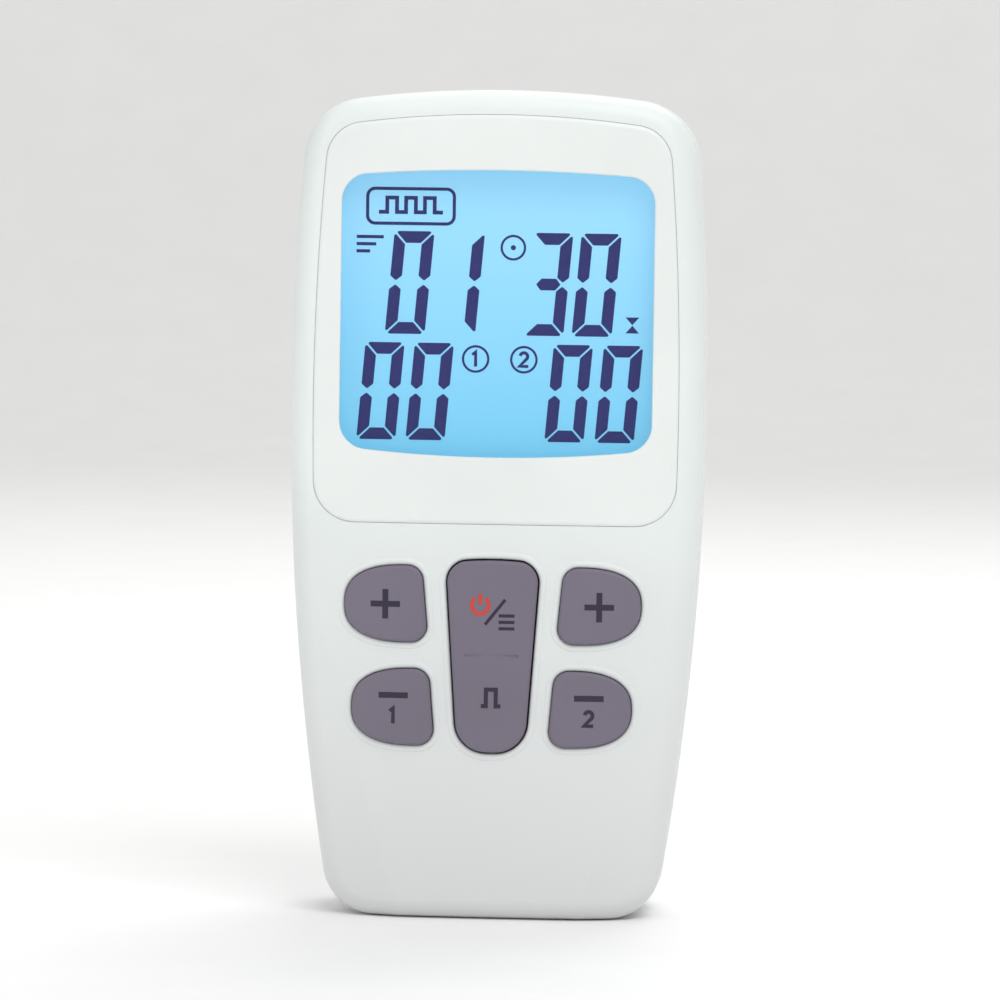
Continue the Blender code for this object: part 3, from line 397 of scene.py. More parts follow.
def loft(rings, closed=False):
    """A closed mesh through rings of equal size, capped at both ends or joined end to start."""
    mesh = bmesh.new()
    loops = [[mesh.verts.new(p) for p in ring] for ring in rings]
    count = len(loops[0])
    pairs = list(zip(loops, loops[1:]))
    if closed:
        pairs.append((loops[-1], loops[0]))
    for near, far in pairs:
        for i in range(count):
            j = (i + 1) % count
            mesh.faces.new((near[i], near[j], far[j], far[i]))
    if not closed:
        mesh.faces.new(reversed(loops[0]))
        mesh.faces.new(loops[-1])
    mesh.normal_update()
    flat = 1e-7
    bent = [f for f in mesh.faces if max(abs((v.co - f.verts[0].co).dot(f.normal)) for v in f.verts) > flat]
    bmesh.ops.triangulate(mesh, faces=bent)
    bmesh.ops.recalc_face_normals(mesh, faces=mesh.faces[:])
    return mesh


def prism(points, y0, y1):
    """An (x, z) outline extruded along Y."""
    return loft([at_depth(points, y0), at_depth(points, y1)])


def turned(profile, centre, axis, sides=48):
    """A solid turned about an axis through centre from (distance along, radius) points."""
    turn = Vector((0, 0, 1)).rotation_difference(Vector(axis))
    origin = Vector(centre)
    rings = []
    for along, radius in profile:
        flat = circle((0, 0), radius, sides)
        rings.append([origin + turn @ Vector((x, y, along)) for x, y in flat])
    return loft(rings)


def rod(centre, radius, start, end, axis, sides=48):
    """A plain cylinder along an axis through centre, from start to end."""
    return turned([(start, radius), (end, radius)], centre, axis, sides)


def chamfered(start, end, radius, edge):
    """Profile of a round pin whose ends are chamfered."""
    return [(start, radius - edge), (start + edge, radius), (end - edge, radius), (end, radius - edge)]


def round_ended(half, radius, edge, steps):
    """Profile of a turned groove cutter with rounded ends."""
    ends = [(edge * inward - half, radius - edge * short) for inward, short in quarter(steps, first=0)]
    return ends + [(-along, reach) for along, reach in reversed(ends)]


def merged(meshes):
    """Several meshes as one."""
    out = bmesh.new()
    for mesh in meshes:
        data = bpy.data.meshes.new("part")
        mesh.to_mesh(data)
        mesh.free()
        out.from_mesh(data)
        bpy.data.meshes.remove(data)
    return out


def new_object(name, mesh):
    """A plain object from a mesh."""
    data = bpy.data.meshes.new(name)
    mesh.to_mesh(data)
    mesh.free()
    thing = bpy.data.objects.new(name, data)
    bpy.context.collection.objects.link(thing)
    return thing


def shape(target, operation, meshes):
    """Cut meshes out of an object or join them to it, and keep the result as its mesh."""
    tool = new_object("tool", merged(meshes))
    step = target.modifiers.new("cut", "BOOLEAN")
    step.operation = operation
    step.solver = "EXACT"
    step.object = tool
    result = bpy.data.meshes.new_from_object(target.evaluated_get(bpy.context.evaluated_depsgraph_get()))
    target.modifiers.clear()
    old = target.data
    target.data = result
    result.name = target.name
    bpy.data.meshes.remove(old)
    bpy.data.objects.remove(tool)


def finish_piece(thing, body, looks, replaced=()):
    """Shade a piece, give it its material, tie it to its body, and hide the CAD nodes it replaces."""
    data = thing.data
    data.shade_smooth()
    data.set_sharp_from_angle(angle=SHARP_ANGLE)
    data.materials.clear()
    data.materials.append(looks)
    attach(thing, body)
    if replaced:
        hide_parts(*replaced)
    return thing


def piece(name, mesh, body, looks, replaced=()):
    """A finished piece straight from a mesh."""
    return finish_piece(new_object(name, mesh), body, looks, replaced)


def keep_normals(thing, normal_at):
    """Give points on a known surface its own normals, so that cuts don't disturb the shading."""
    normals = [normal_at(vertex.co) or (0, 0, 0) for vertex in thing.data.vertices]
    thing.data.normals_split_custom_set_from_vertices(normals)


def face_normals(thing, offset, near):
    """Keep the crowned face's shading on the points of a piece that lie on it."""

    def normal_at(point):
        x, y, z = point
        if abs(y - FRONT - crown(x, z) - offset) > near:
            return None
        reach = 0.3 * MM
        across = (crown(x + reach, z) - crown(x - reach, z)) / (2 * reach)
        up = (crown(x, z + reach) - crown(x, z - reach)) / (2 * reach)
        return Vector((across, -1, up)).normalized()

    keep_normals(thing, normal_at)


def rear_normals(thing):
    """Keep the flat rear's shading on the points of a piece that lie on it."""
    near = 0.001 * MM
    keep_normals(thing, lambda point: (0, 1, 0) if abs(point.y - REAR) < near else None)


# ---- materials


class Looks:
    """A node material in the making; a node's input takes a value or another node's output."""

    def __init__(self, name):
        self.material = bpy.data.materials.new(name)
        self.material.use_nodes = True
        self.tree = self.material.node_tree
        self.place = self.add("TexCoord", "Object", {})

    def fill(self, node, inputs):
        """Give a node's inputs their values or links."""
        for key, value in inputs.items():
            if isinstance(value, bpy.types.NodeSocket):
                self.tree.links.new(value, node.inputs[key])
            else:
                node.inputs[key].default_value = value

    def add(self, kind, output, inputs, **settings):
        """A new node's output."""
        node = self.tree.nodes.new("ShaderNode" + kind)
        for name, value in settings.items():
            setattr(node, name, value)
        self.fill(node, inputs)
        return node.outputs[output]

    def surface(self, inputs):
        """Set the shader itself."""
        self.fill(self.tree.nodes["Principled BSDF"], inputs)

    def noise(self, scale, detail):
        """The factor of a noise texture in object space."""
        return self.add("TexNoise", "Fac", {"Vector": self.place, "Scale": scale, "Detail": detail})

    def height(self, low, high):
        """0 at height low and 1 at height high."""
        z = self.add("SeparateXYZ", "Z", {"Vector": self.place})
        return self.add("MapRange", "Result", {"Value": z, "From Min": low, "From Max": high})

    def span(self, factor, low, high):
        """A value that runs from low to high over the middle of a noise factor."""
        ends = {"From Min": 0.3, "From Max": 0.7, "To Min": low, "To Max": high}
        return self.add("MapRange", "Result", {"Value": factor, **ends})

    def edge(self):
        """How close a point is to an edge: how far the surface turns within a short reach of it."""
        rounded = self.add("Bevel", "Normal", {"Radius": EDGE_REACH}, samples=4)
        true = self.add("NewGeometry", "Normal", {})
        turn = self.add("VectorMath", "Value", {0: rounded, 1: true}, operation="DOT_PRODUCT")
        return self.add("Math", "Value", {0: 1.0, 1: turn}, operation="SUBTRACT")

    def ramp(self, factor, low, high, low_colour, high_colour):
        """A colour that runs between two colours as the factor goes from low to high."""
        node = self.tree.nodes.new("ShaderNodeValToRGB")
        stops = node.color_ramp.elements
        stops[0].position = low
        stops[0].color = (*low_colour, 1)
        stops[1].position = high
        stops[1].color = (*high_colour, 1)
        self.fill(node, {"Fac": factor})
        return node.outputs["Color"]

    def mix(self, first, second, factor, way="MIX"):
        """Two colours mixed by a factor."""
        inputs = {"A": first, "B": second, "Factor": factor}
        return self.add("Mix", "Result", inputs, data_type="RGBA", blend_type=way)

    def relief(self, height, strength, depth):
        """Bump the surface."""
        inputs = {"Height": height, "Strength": strength, "Distance": depth}
        self.surface({"Normal": self.add("Bump", "Normal", inputs)})


def shade(colour, factor):
    """A colour made lighter or darker."""
    return tuple(min(1.0, c * factor) for c in colour)


def plastic(name, colour, roughness, grain=1200.0, bump=0.05, mottle=0.03, wear=0.06, painted_shade_colour=None):
    """Moulded plastic: fine spark texture, faint mottling, uneven gloss and worn, brighter edges.

    Given a colour for the base, the tone turns to it towards the base: painted shade, which makes the
    plastic darker towards the bottom.
    """
    looks = Looks(name)
    broad = looks.noise(45.0, 4)
    tone = looks.ramp(broad, 0.3, 0.7, shade(colour, 1 - mottle), shade(colour, 1 + mottle))
    if painted_shade_colour:
        # Painted shade: the tone darkens towards the base and fades out at the given height
        tone = looks.mix((*painted_shade_colour, 1), tone, looks.height(0, PAINTED_SHADE_TOP_Z))
    worn = looks.ramp(looks.edge(), 0.02, 0.3, (0, 0, 0), (wear, wear, wear))
    gloss = looks.span(broad, roughness - 0.05, roughness + 0.06)
    looks.surface({"Base Color": looks.mix(tone, worn, 1.0, "ADD"), "Roughness": gloss})
    looks.relief(looks.noise(grain, 3), bump, 0.05 * MM)
    return looks.material


def metal(name, colour, roughness):
    """Plated or brushed metal with fine scratches and uneven gloss."""
    looks = plastic(name, colour, roughness, 900.0, 0.08, 0.06, 0.1)
    looks.node_tree.nodes["Principled BSDF"].inputs["Metallic"].default_value = 1.0
    return looks


def display_light(name, top, low, strength):
    """The lit display: pale blue at the top, deeper blue below, with a faint cloudiness."""
    looks = Looks(name)
    height = looks.height(WINDOW_LOW_Z, WINDOW_HIGH_Z)
    cloudy = {0: looks.noise(30.0, 2), 1: 0.35, 2: height}
    factor = looks.add("Math", "Value", cloudy, operation="MULTIPLY_ADD")
    tone = looks.ramp(factor, 0.12, 1.15, low, top)
    looks.surface({"Base Color": tone, "Emission Color": tone})
    looks.surface({"Emission Strength": strength, "Roughness": 0.3})
    looks.relief(looks.noise(900.0, 2), 0.02, 0.02 * MM)
    return looks.material


def window_plastic(name):
    """Clear window: mostly open, a faint blue tint, and very slight waviness in its gloss."""
    looks = plastic(name, (0.10, 0.16, 0.25), 0.08, 60.0, 0.02, 0.01, 0.0)
    looks.node_tree.nodes["Principled BSDF"].inputs["Alpha"].default_value = 0.06
    return looks


# The front shell's plastic, with painted shade that darkens it towards the base
WHITE = plastic("white_plastic", (0.795, 0.85, 0.84), 0.42, painted_shade_colour=(0.68, 0.685, 0.69))
BEZEL_WHITE = plastic("bezel_plastic", (0.81, 0.85, 0.835), 0.36)
REAR_WHITE = plastic("rear_plastic", (0.79, 0.82, 0.81), 0.48, 1000.0, 0.12)
CLIP_WHITE = plastic("clip_plastic", (0.78, 0.81, 0.80), 0.4, 1000.0, 0.08)
KEY_GREY = plastic("key_plastic", (0.172, 0.150, 0.200), 0.55, 1500.0, 0.1, 0.05, 0.03)
PRINT = plastic("print_ink", (0.021, 0.014, 0.038), 0.5, 2000.0, 0.05, 0.05, 0.0)
RED_PRINT = plastic("red_ink", (0.60, 0.050, 0.030), 0.5, 2000.0, 0.05, 0.05, 0.0)
DIGIT = plastic("digit_ink", (0.012, 0.008, 0.150), 0.6, 2000.0, 0.02, 0.08, 0.0)
BLACK = plastic("black_plastic", (0.02, 0.02, 0.022), 0.45, 1200.0, 0.1, 0.1, 0.03)
SILICONE = plastic("silicone", (0.55, 0.57, 0.58), 0.7)
BOARD = plastic("board", (0.02, 0.16, 0.07), 0.4, 500.0, 0.1, 0.15, 0.0)
LABEL = plastic("label_paper", (0.68, 0.69, 0.70), 0.6, 1800.0, 0.15, 0.04, 0.02)
STEEL = metal("plated_steel", (0.62, 0.62, 0.63), 0.3)
GOLD = plastic("winding_tape", (0.62, 0.42, 0.05), 0.5)
WRAP = plastic("cell_wrap", (0.05, 0.08, 0.20), 0.3)
COPPER = metal("cell_band", (0.72, 0.40, 0.20), 0.28)
RED = plastic("red_insulation", (0.5, 0.02, 0.02), 0.45)
LCD_LIGHT = display_light("display_light", (0.235, 0.53, 0.735), (0.132, 0.440, 0.640), 0.68)
CLEAR = window_plastic("clear_window")


# ---- front shell, surround and window


def panel_outline():
    """The part of the face inside the creases, point for point with the housing's outline."""
    inset = BEVEL_WIDTH + 0.25 * MM
    outer = housing_outline(inset)
    right = outer[: len(outer) // 2 + 1]
    past = [i for i, (x, z) in enumerate(right) if x > CREASE_X + CREASE_SLOPE * (z - CREASE_Z)]
    first, last = past[0], past[-1]
    run = [0.0]
    for i in range(first, last + 1):
        run.append(run[-1] + (Vector(right[i]) - Vector(right[i - 1])).length)
    low, high = right[first - 1][1], right[last][1]
    for i in range(first, last + 1):
        z = low + (high - low) * run[i - first + 1] / run[-1]
        right[i] = (CREASE_X + CREASE_SLOPE * (z - CREASE_Z), z)
    return right + [(-x, z) for x, z in right[-2:0:-1]]


def between(first, second, share):
    """The outline a share of the way from one outline to another."""
    return [(a[0] + (b[0] - a[0]) * share, a[1] + (b[1] - a[1]) * share) for a, b in zip(first, second)]


def front_rings():
    """Rings of the front shell's outer surface, from the parting plane to the middle of the face."""
    side = housing_outline(SHELL_STEP, base=0.0)
    lip = housing_outline(SHELL_STEP + PARTING_EDGE, base=PARTING_EDGE)
    rings = [at_depth(lip, PARTING_FRONT), at_depth(side, PARTING_FRONT - PARTING_EDGE)]
    rings.append(on_face(side, FRONT_EDGE_R))
    for inward, forward in quarter(10):
        inset = FRONT_EDGE_R * inward
        rings.append(on_face(housing_outline(inset + SHELL_STEP, base=inset), FRONT_EDGE_R * forward))
    outer = housing_outline(FRONT_EDGE_R + SHELL_STEP + 0.08 * MM, base=FRONT_EDGE_R + 0.08 * MM)
    panel = panel_outline()
    for share in (0.0, 0.12, 0.24, 0.36, 0.48, 0.6, 0.72, 0.84, 0.95):
        rings.append(on_face(between(outer, panel, share), 0.0))
    rings.append(on_face(panel, 0.0))
    rings.append(on_face(drawn_in(panel, 0.008, SPINE), 0.0))
    inner = drawn_in(panel, 0.03, SPINE)
    return rings + face_rings(inner, 0.0, SPINE, count=26)


def front_cavity():
    """The hollow of the front shell."""
    edge = 0.8 * MM
    depth = 2.4 * MM
    rings = [at_depth(inner_wall(), PARTING_FRONT + MM), on_face(inner_wall(), depth + edge)]
    return loft(rings + face_rings(inner_wall(edge), depth, SPINE, count=4))


def key_rim(outline, slit):
    """A slightly raised, rounded rim round a key's opening."""
    profile = [(0, 2.1), (0, 0.30), (0.03, 0.10), (0.10, -0.03), (0.22, -0.11), (0.40, -0.15)]
    profile += [(0.60, -0.15), (0.76, -0.12), (0.87, -0.06), (0.95, 0.04), (1.0, 0.2), (1.0, 2.1)]
    return loft([on_face(outline(slit + reach), offset) for reach, offset in in_mm(profile)], closed=True)


def front_shell():
    """The front half of the housing."""
    shell = new_object("front_housing", loft(front_rings()))
    recess = bezel_outline(SURROUND_GAP)
    recess_rings = [at_depth(recess, FRONT - 2 * MM)]
    recess_rings += face_rings(recess, 0.7 * MM, FACE_SPINE, count=6)
    shape(shell, "DIFFERENCE", [front_cavity()])
    shape(shell, "DIFFERENCE", [loft(recess_rings)])
    holes = [prism(window_outline(0.4 * MM), FRONT - MM, FRONT + 8 * MM)]
    holes += [prism(outline(0.75 * MM), FRONT - MM, FRONT + 8 * MM) for outline in KEY_SHAPES.values()]
    shape(shell, "DIFFERENCE", holes)
    shape(shell, "UNION", [key_rim(outline, KEY_SLITS[name]) for name, outline in KEY_SHAPES.items()])
    finish_piece(shell, "housing", WHITE, ["front_shell"])
    face_normals(shell, 0, 0.02 * MM)


def surround():
    """The display surround: a crowned frame with soft edges."""
    count = 360
    edge = 0.7
    inner = {g: spread(window_outline(g * MM), count) for g in (0.04, 0.08, 0.18, 0.34)}
    proud = -BEZEL_PROUD
    rings = [on_face(spread(bezel_outline(), count), 0.4 * MM)]
    for inward, forward in quarter(6, first=0):
        ring = spread(bezel_outline(-edge * inward * MM), count)
        rings.append(on_face(ring, proud + 0.42 * forward * MM))
    outer = spread(bezel_outline(-edge * MM), count)
    for step in range(9):
        rings.append(on_face(between(outer, inner[0.34], (step + 0.5) / 8.5), proud))
    rings += [on_face(inner[0.18], proud + 0.05 * MM), on_face(inner[0.08], proud + 0.15 * MM)]
    rings += [on_face(inner[0.04], proud + 0.3 * MM), on_face(inner[0.04], 0.4 * MM)]
    ring = loft(rings, closed=True)
    panel = piece("display_surround", ring, "housing", BEZEL_WHITE, ["display_bezel"])
    face_normals(panel, proud, ON_FACE)


def window():
    """The clear window: a crowned pane with a soft edge, and a flange behind the surround."""
    front, step, back = -0.12 * MM, 0.75 * MM, 1.2 * MM
    pane = window_outline()
    flange = window_outline(MM)
    rings = face_rings(window_outline(-0.15 * MM), front, FACE_SPINE, count=8)[::-1]
    rings += [on_face(window_outline(-0.05 * MM), front + 0.06 * MM), on_face(pane, front + 0.16 * MM)]
    rings += [on_face(pane, step), on_face(flange, step), on_face(flange, back)]
    rings += face_rings(pane, back, FACE_SPINE, count=8)
    piece("display_window", loft(rings), "housing", CLEAR, ["lcd_window"])


# ---- flat marks: strokes and digits


def ribbon(path, width, closed=False):
    """The outline pair of a line of constant width: points on its left and on its right."""
    left = []
    right = []
    count = len(path)
    for i, point in enumerate(path):
        here = Vector(point)
        before = Vector(path[i - 1]) if closed or i else here
        after = Vector(path[(i + 1) % count]) if closed or i < count - 1 else here
        first = (here - before).normalized()
        second = (after - here).normalized()
        along = (first + second).normalized()
        stretch = 1.0
        if first.length and second.length:
            stretch = 1 / max(0.5, along.dot(first))
        across = Vector((-along.y, along.x)) * width / 2 * stretch
        left.append(tuple(here + across))
        right.append(tuple(here - across))
    return left, right


def mark(outlines, front, thickness):
    """Thin solids from closed outlines; front gives the depth of a point (x, z)."""
    meshes = []
    for outline in outlines:
        low = [(x, front(x, z), z) for x, z in outline]
        high = [(x, y - thickness, z) for x, y, z in low]
        meshes.append(loft([low, high]))
    return meshes


def stroke(path, width, front, thickness, closed=False):
    """A drawn line as a thin solid, with square ends or closed on itself."""
    left, right = ribbon(path, width, closed)
    if not closed:
        return mark([left + right[::-1]], front, thickness)
    rings = []
    for side, lift in ((left, 0), (left, thickness), (right, thickness), (right, 0)):
        rings.append([(x, front(x, z) - lift, z) for x, z in side])
    return [loft(rings, closed=True)]


def bar(start, end, width, front, thickness):
    """A straight stroke."""
    return stroke([start, end], width, front, thickness)


SEGMENTS = {"0": "abcdef", "1": "bc", "3": "abgcd"}

# Rows of digits: (height of their middle, digit width, digit height, digits and their places in mm)
DIGIT_ROWS = (
    (84.3 * MM, 5.3 * MM, 13.6 * MM, (("0", -11.8), ("1", -5.1), ("3", 6.6), ("0", 13.0))),
    (69.9 * MM, 5.2 * MM, 12.9 * MM, (("0", -15.5), ("0", -8.95), ("0", 9.5), ("0", 16.15))),
)
DIGIT_LINE = 1.55 * MM
DIGIT_SLANT = 0.085
INK = 0.05 * MM


def mirrored(points, across, up):
    """An outline mirrored in one direction, still anticlockwise."""
    return [(x * across, z * up) for x, z in reversed(points)]


def digit_outlines(text, centre, width, height, line, slant):
    """Seven-segment outlines of one digit: mitred bars with small gaps, slanted to the right."""
    half_w = width / 2
    half_h = height / 2
    gap = 0.13 * MM
    notch = line * 0.5
    inner_w = half_w - line
    upper = {
        "a": [
            (-inner_w + gap, half_h - line),
            (inner_w - gap, half_h - line),
            (half_w - gap * 1.4, half_h),
            (-half_w + gap * 1.4, half_h),
        ],
        "f": [
            (-half_w, notch + gap),
            (-half_w + line / 2, gap * 2),
            (-inner_w, notch + gap),
            (-inner_w, half_h - line - gap * 1.6),
            (-half_w, half_h - gap * 1.4),
        ],
        "g": [
            (-half_w + line / 2 + gap * 2, 0),
            (-inner_w + gap, -line / 2),
            (inner_w - gap, -line / 2),
            (half_w - line / 2 - gap * 2, 0),
            (inner_w - gap, line / 2),
            (-inner_w + gap, line / 2),
        ],
    }
    shapes = dict(upper)
    shapes["b"] = mirrored(upper["f"], -1, 1)
    shapes["d"] = mirrored(upper["a"], 1, -1)
    shapes["e"] = mirrored(upper["f"], 1, -1)
    shapes["c"] = mirrored(shapes["e"], -1, 1)
    out = []
    for name in SEGMENTS[text]:
        soft = rounded_polygon(shapes[name], [0.18 * MM] * len(shapes[name]), corner_steps=3, side_steps=1)
        out.append([(centre[0] + x + z * slant, centre[1] + z) for x, z in soft])
    return out


# ---- display


def display_front(x, z):
    """Depth of the display glass's front."""
    return GLASS_LOW.y


def display():
    """The lit glass and everything it shows."""
    edge = 0.15 * MM
    outline, inner = (
        rectangle(GLASS_HIGH.x, GLASS_LOW.z, GLASS_HIGH.z, 0.6 * MM, grow, corner_steps=6, side_steps=12)
        for grow in (0, -edge)
    )
    rings = [at_depth(inner, GLASS_LOW.y), at_depth(outline, GLASS_LOW.y + edge)]
    rings += [at_depth(outline, GLASS_HIGH.y - edge), at_depth(inner, GLASS_HIGH.y)]
    piece("display_glass", loft(rings), "housing", LCD_LIGHT, ["lcd_glass"])
    digits = []
    for z, width, height, row in DIGIT_ROWS:
        for text, x in row:
            digits += digit_outlines(text, (x * MM, z), width, height, DIGIT_LINE, DIGIT_SLANT)
    meshes = mark(digits, display_front, INK)
    meshes += [mesh for part in display_marks(INK) for mesh in part]
    piece("display_digits", merged(meshes), "housing", DIGIT)


def square_wave(start, rises, width, end, low, high):
    """The path of a square wave, given in millimetres: one pulse of a width at each rise."""
    path = [(start, low)]
    for x in rises:
        path += [(x, low), (x, high), (x + width, high), (x + width, low)]
    return in_mm(path + [(end, low)])


def display_marks(thick):
    """Small generic marks: mode frame with a pulse, list bars, dial, hourglass and channel numbers."""
    front = display_front
    line = 0.42 * MM
    thin = 0.3 * MM
    mode = rectangle(5.75 * MM, 92.1 * MM, 96.7 * MM, 1.0 * MM, corner_steps=6, middle=-11.75 * MM)
    yield stroke(mode, line, front, thick, closed=True)
    pulse = square_wave(-16.0, (-14.9, -12.4, -9.9), 1.3, -7.5, 93.6, 95.5)
    yield stroke(pulse, 0.5 * MM, front, thick)
    x = -18.9 * MM
    for i, length in enumerate((3.6, 2.6, 1.8)):
        z = (90.3 - 0.95 * i) * MM
        yield bar((x, z), (x + length * MM, z), line, front, thick)
    dial = (1.9 * MM, 89.1 * MM)
    yield stroke(circle(dial, 1.55 * MM, 36), thin, front, thick, closed=True)
    yield mark([circle(dial, 0.34 * MM, 16)], front, thick)
    for base, tip in ((80.1, 79.1), (78.0, 79.0)):
        yield mark([in_mm([(16.9, base), (17.8, tip), (18.7, base)])], front, thick)
    for number, x in (("1", -2.9), ("2", 3.5)):
        centre = (x * MM, 74.3 * MM)
        yield stroke(circle(centre, 1.68 * MM, 36), thin, front, thick, closed=True)
        yield numeral(number, centre, 2.0 * MM, line, front, thick)


def numeral(text, centre, height, line, front, thick):
    """A plain 1 or 2 drawn with strokes."""
    x, z = centre
    h = height / 2
    if text == "1":
        path = [(x - 0.448 * h, z + 0.55 * h), (x, z + 0.92 * h), (x, z - h)]
    else:
        path = arc((x, z + 0.42 * h), 0.5 * h, math.radians(170), math.radians(-35), 10)
        path += [(x - 0.55 * h, z - 0.88 * h), (x + 0.6 * h, z - 0.88 * h)]
    return stroke(path, line, front, thick)


# ---- keys

KEY_INK = 0.02 * MM


def key_top(x, z):
    """Depth of the keys' tops, which follow the face."""
    return FRONT + crown(x, z) + KEY_TOP


def key_body(name):
    """A key with a soft edge, its flange and its stem."""
    outline = KEY_SHAPES[name]
    plain = outline(0.0)
    middle = sum((Vector(p) for p in plain), Vector((0, 0))) / len(plain)
    reach = 7 * MM if name == "key_mode" else MM
    spine = (middle.y - reach, middle.y + reach)
    edge = 0.45 * MM
    rings = face_rings(outline(-edge), KEY_TOP, spine, middle.x, 6)[::-1]
    for back, inward in quarter(6):
        rings.append(on_face(outline(-edge * inward), KEY_TOP + edge * back))
    rings.append(at_depth(plain, FLANGE_FRONT))
    rings += [at_depth(outline(0.8 * MM), y) for y in (FLANGE_FRONT, FLANGE_BACK)]
    grow = -0.8 * MM if name == "key_mode" else -1.9 * MM
    rings += [at_depth(outline(grow), y) for y in (FLANGE_BACK, STEM_BACK)]
    return new_object(name.replace("key_", "button_"), loft(rings))


def keys():
    """The five keys with the groove across the long one."""
    for name in KEY_SHAPES:
        thing = key_body(name)
        if name == "key_mode":
            z = 35.3 * MM
            groove = rod((0, key_top(0, z) - 0.42 * MM, z), 0.5 * MM, -3.6 * MM, 3.6 * MM, X_AXIS, 32)
            shape(thing, "DIFFERENCE", [groove])
        finish_piece(thing, name, KEY_GREY, [name])
        face_normals(thing, KEY_TOP, ON_FACE)


def key_marks():
    """The marks printed on the keys: plus, minus and channel number, power, list and pulse."""
    draw = partial(bar, front=key_top, thickness=KEY_INK)
    reach = 1.95 * MM
    width = 0.78 * MM
    for channel, side in ((1, -1), (2, 1)):
        x, z = side * 14.15 * MM, 41.9 * MM
        plus = draw((x - reach, z), (x + reach, z), width)
        plus += draw((x, z + reach), (x, z + width / 2), width)
        plus += draw((x, z - reach), (x, z - width / 2), width)
        piece(f"plus_mark_{channel}", merged(plus), f"key_ch{channel}_plus", PRINT)
        x, z = side * 12.95 * MM, 29.8 * MM
        minus = draw((x - reach, z), (x + reach, z), width)
        minus += numeral(str(channel), (x, 27.1 * MM), 2.1 * MM, 0.5 * MM, key_top, KEY_INK)
        piece(f"minus_mark_{channel}", merged(minus), f"key_ch{channel}_minus", PRINT)
    x, z = -1.55 * MM, 41.95 * MM
    ring = arc((x, z), 1.12 * MM, math.radians(128), math.radians(412), 30)
    power = stroke(ring, 0.5 * MM, key_top, KEY_INK)
    power += draw((x, z + 0.15 * MM), (x, z + 1.5 * MM), 0.5 * MM)
    piece("power_mark", merged(power), "key_mode", RED_PRINT)
    line = 0.42 * MM
    dark = draw((-0.9 * MM, 39.4 * MM), (1.75 * MM, 42.75 * MM), line)
    for i in range(3):
        z = (40.6 - 0.85 * i) * MM
        dark += draw((0.9 * MM, z), (3.0 * MM, z), line)
    dark += stroke(square_wave(-1.3, [-0.65], 1.3, 1.3, 28.6, 30.8), 0.55 * MM, key_top, KEY_INK)
    piece("mode_marks", merged(dark), "key_mode", PRINT)


# ---- rear shell


def block(x, y, z, bevel=0.0):
    """A box given as three (low, high) pairs, with rounded edges."""
    mesh = bmesh.new()
    bmesh.ops.create_cube(mesh, size=1)
    bmesh.ops.scale(mesh, vec=[high - low for low, high in (x, y, z)], verts=mesh.verts)
    bmesh.ops.translate(mesh, vec=[(high + low) / 2 for low, high in (x, y, z)], verts=mesh.verts)
    if bevel:
        bmesh.ops.bevel(mesh, geom=mesh.edges[:], offset=bevel, segments=3, profile=0.5, affect="EDGES")
    bmesh.ops.recalc_face_normals(mesh, faces=mesh.faces[:])
    return mesh


def rear_shell():
    """The rear half of the housing with its bay, seats, holes and clip lugs."""
    rings = [at_depth(housing_outline(PARTING_EDGE), PARTING_REAR)]
    rings.append(at_depth(housing_outline(), PARTING_REAR + PARTING_EDGE))
    for inward, short in quarter(10, first=0):
        rings.append(at_depth(housing_outline(REAR_EDGE_R * inward), REAR - REAR_EDGE_R * short))
    shell = new_object("rear_housing", loft(rings))
    edge = 1.5 * MM
    hollow = [at_depth(inner_wall(), PARTING_REAR - MM), at_depth(inner_wall(), REAR - WALL - edge)]
    hollow.append(at_depth(inner_wall(edge), REAR - WALL))
    shape(shell, "DIFFERENCE", [loft(hollow)])
    deep = REAR - 1.2 * MM
    bay_x = (-BAY_HALF - BAY_WALL, BAY_HALF + BAY_WALL)
    bay_z = (BAY_LOW_Z - BAY_WALL, BAY_HIGH_Z + BAY_WALL)
    shape(shell, "UNION", [block(bay_x, (BAY_FRONT - BAY_WALL, deep), bay_z)])
    bosses = [rod((x, 0, z), 2 * MM, PARTING_REAR + 0.3 * MM, deep, Y_AXIS) for x, z in CASE_SCREWS]
    shape(shell, "UNION", bosses + [clip_lug(s * 5 * MM, 0.9 * MM) for s in (-1, 1)])
    opening = block((-BAY_HALF, BAY_HALF), (BAY_FRONT, REAR + MM), (BAY_LOW_Z, BAY_HIGH_Z))
    shape(shell, "DIFFERENCE", [opening])
    seat_rings = [(0.0, REAR - 2.1 * MM), (0.0, REAR - 0.22 * MM), (0.05 * MM, REAR - 0.08 * MM)]
    seat_rings += [(0.14 * MM, REAR - 0.01 * MM), (0.2 * MM, REAR + MM)]
    cutters = []
    for grow, y in seat_rings:
        ring = rectangle(DOOR_HIGH.x + DOOR_GAP, DOOR_SILL_Z, DOOR_HIGH.z + DOOR_GAP, 1.1 * MM, grow)
        cutters.append(at_depth(ring, y))
    shape(shell, "DIFFERENCE", [loft(cutters)])
    shape(shell, "DIFFERENCE", knuckle_slots() + [finger_notch()])
    shape(shell, "DIFFERENCE", screw_seats() + socket_holes() + [pin_hole()])
    finish_piece(shell, "housing", REAR_WHITE, ["rear_shell"])
    rear_normals(shell)


def clip_lug(x, half_thickness):
    """A lug that carries the clip's pin, with softened sides."""
    centre = (CLIP_PIVOT.y, CLIP_PIVOT.z)
    rings = []
    for side, grow in ((-1, -0.25), (-1, 0), (1, 0), (1, -0.25)):
        reach = half_thickness if grow else half_thickness - 0.2 * MM
        outline = [(REAR - 0.8 * MM, centre[1] - (3 + grow) * MM)]
        outline += arc(centre, (1.8 + grow) * MM, math.radians(-50), math.radians(50), 20)
        outline += [(REAR - 0.8 * MM, centre[1] + (3 + grow) * MM)]
        rings.append([(x + side * reach, y, z) for y, z in outline])
    return loft(rings)


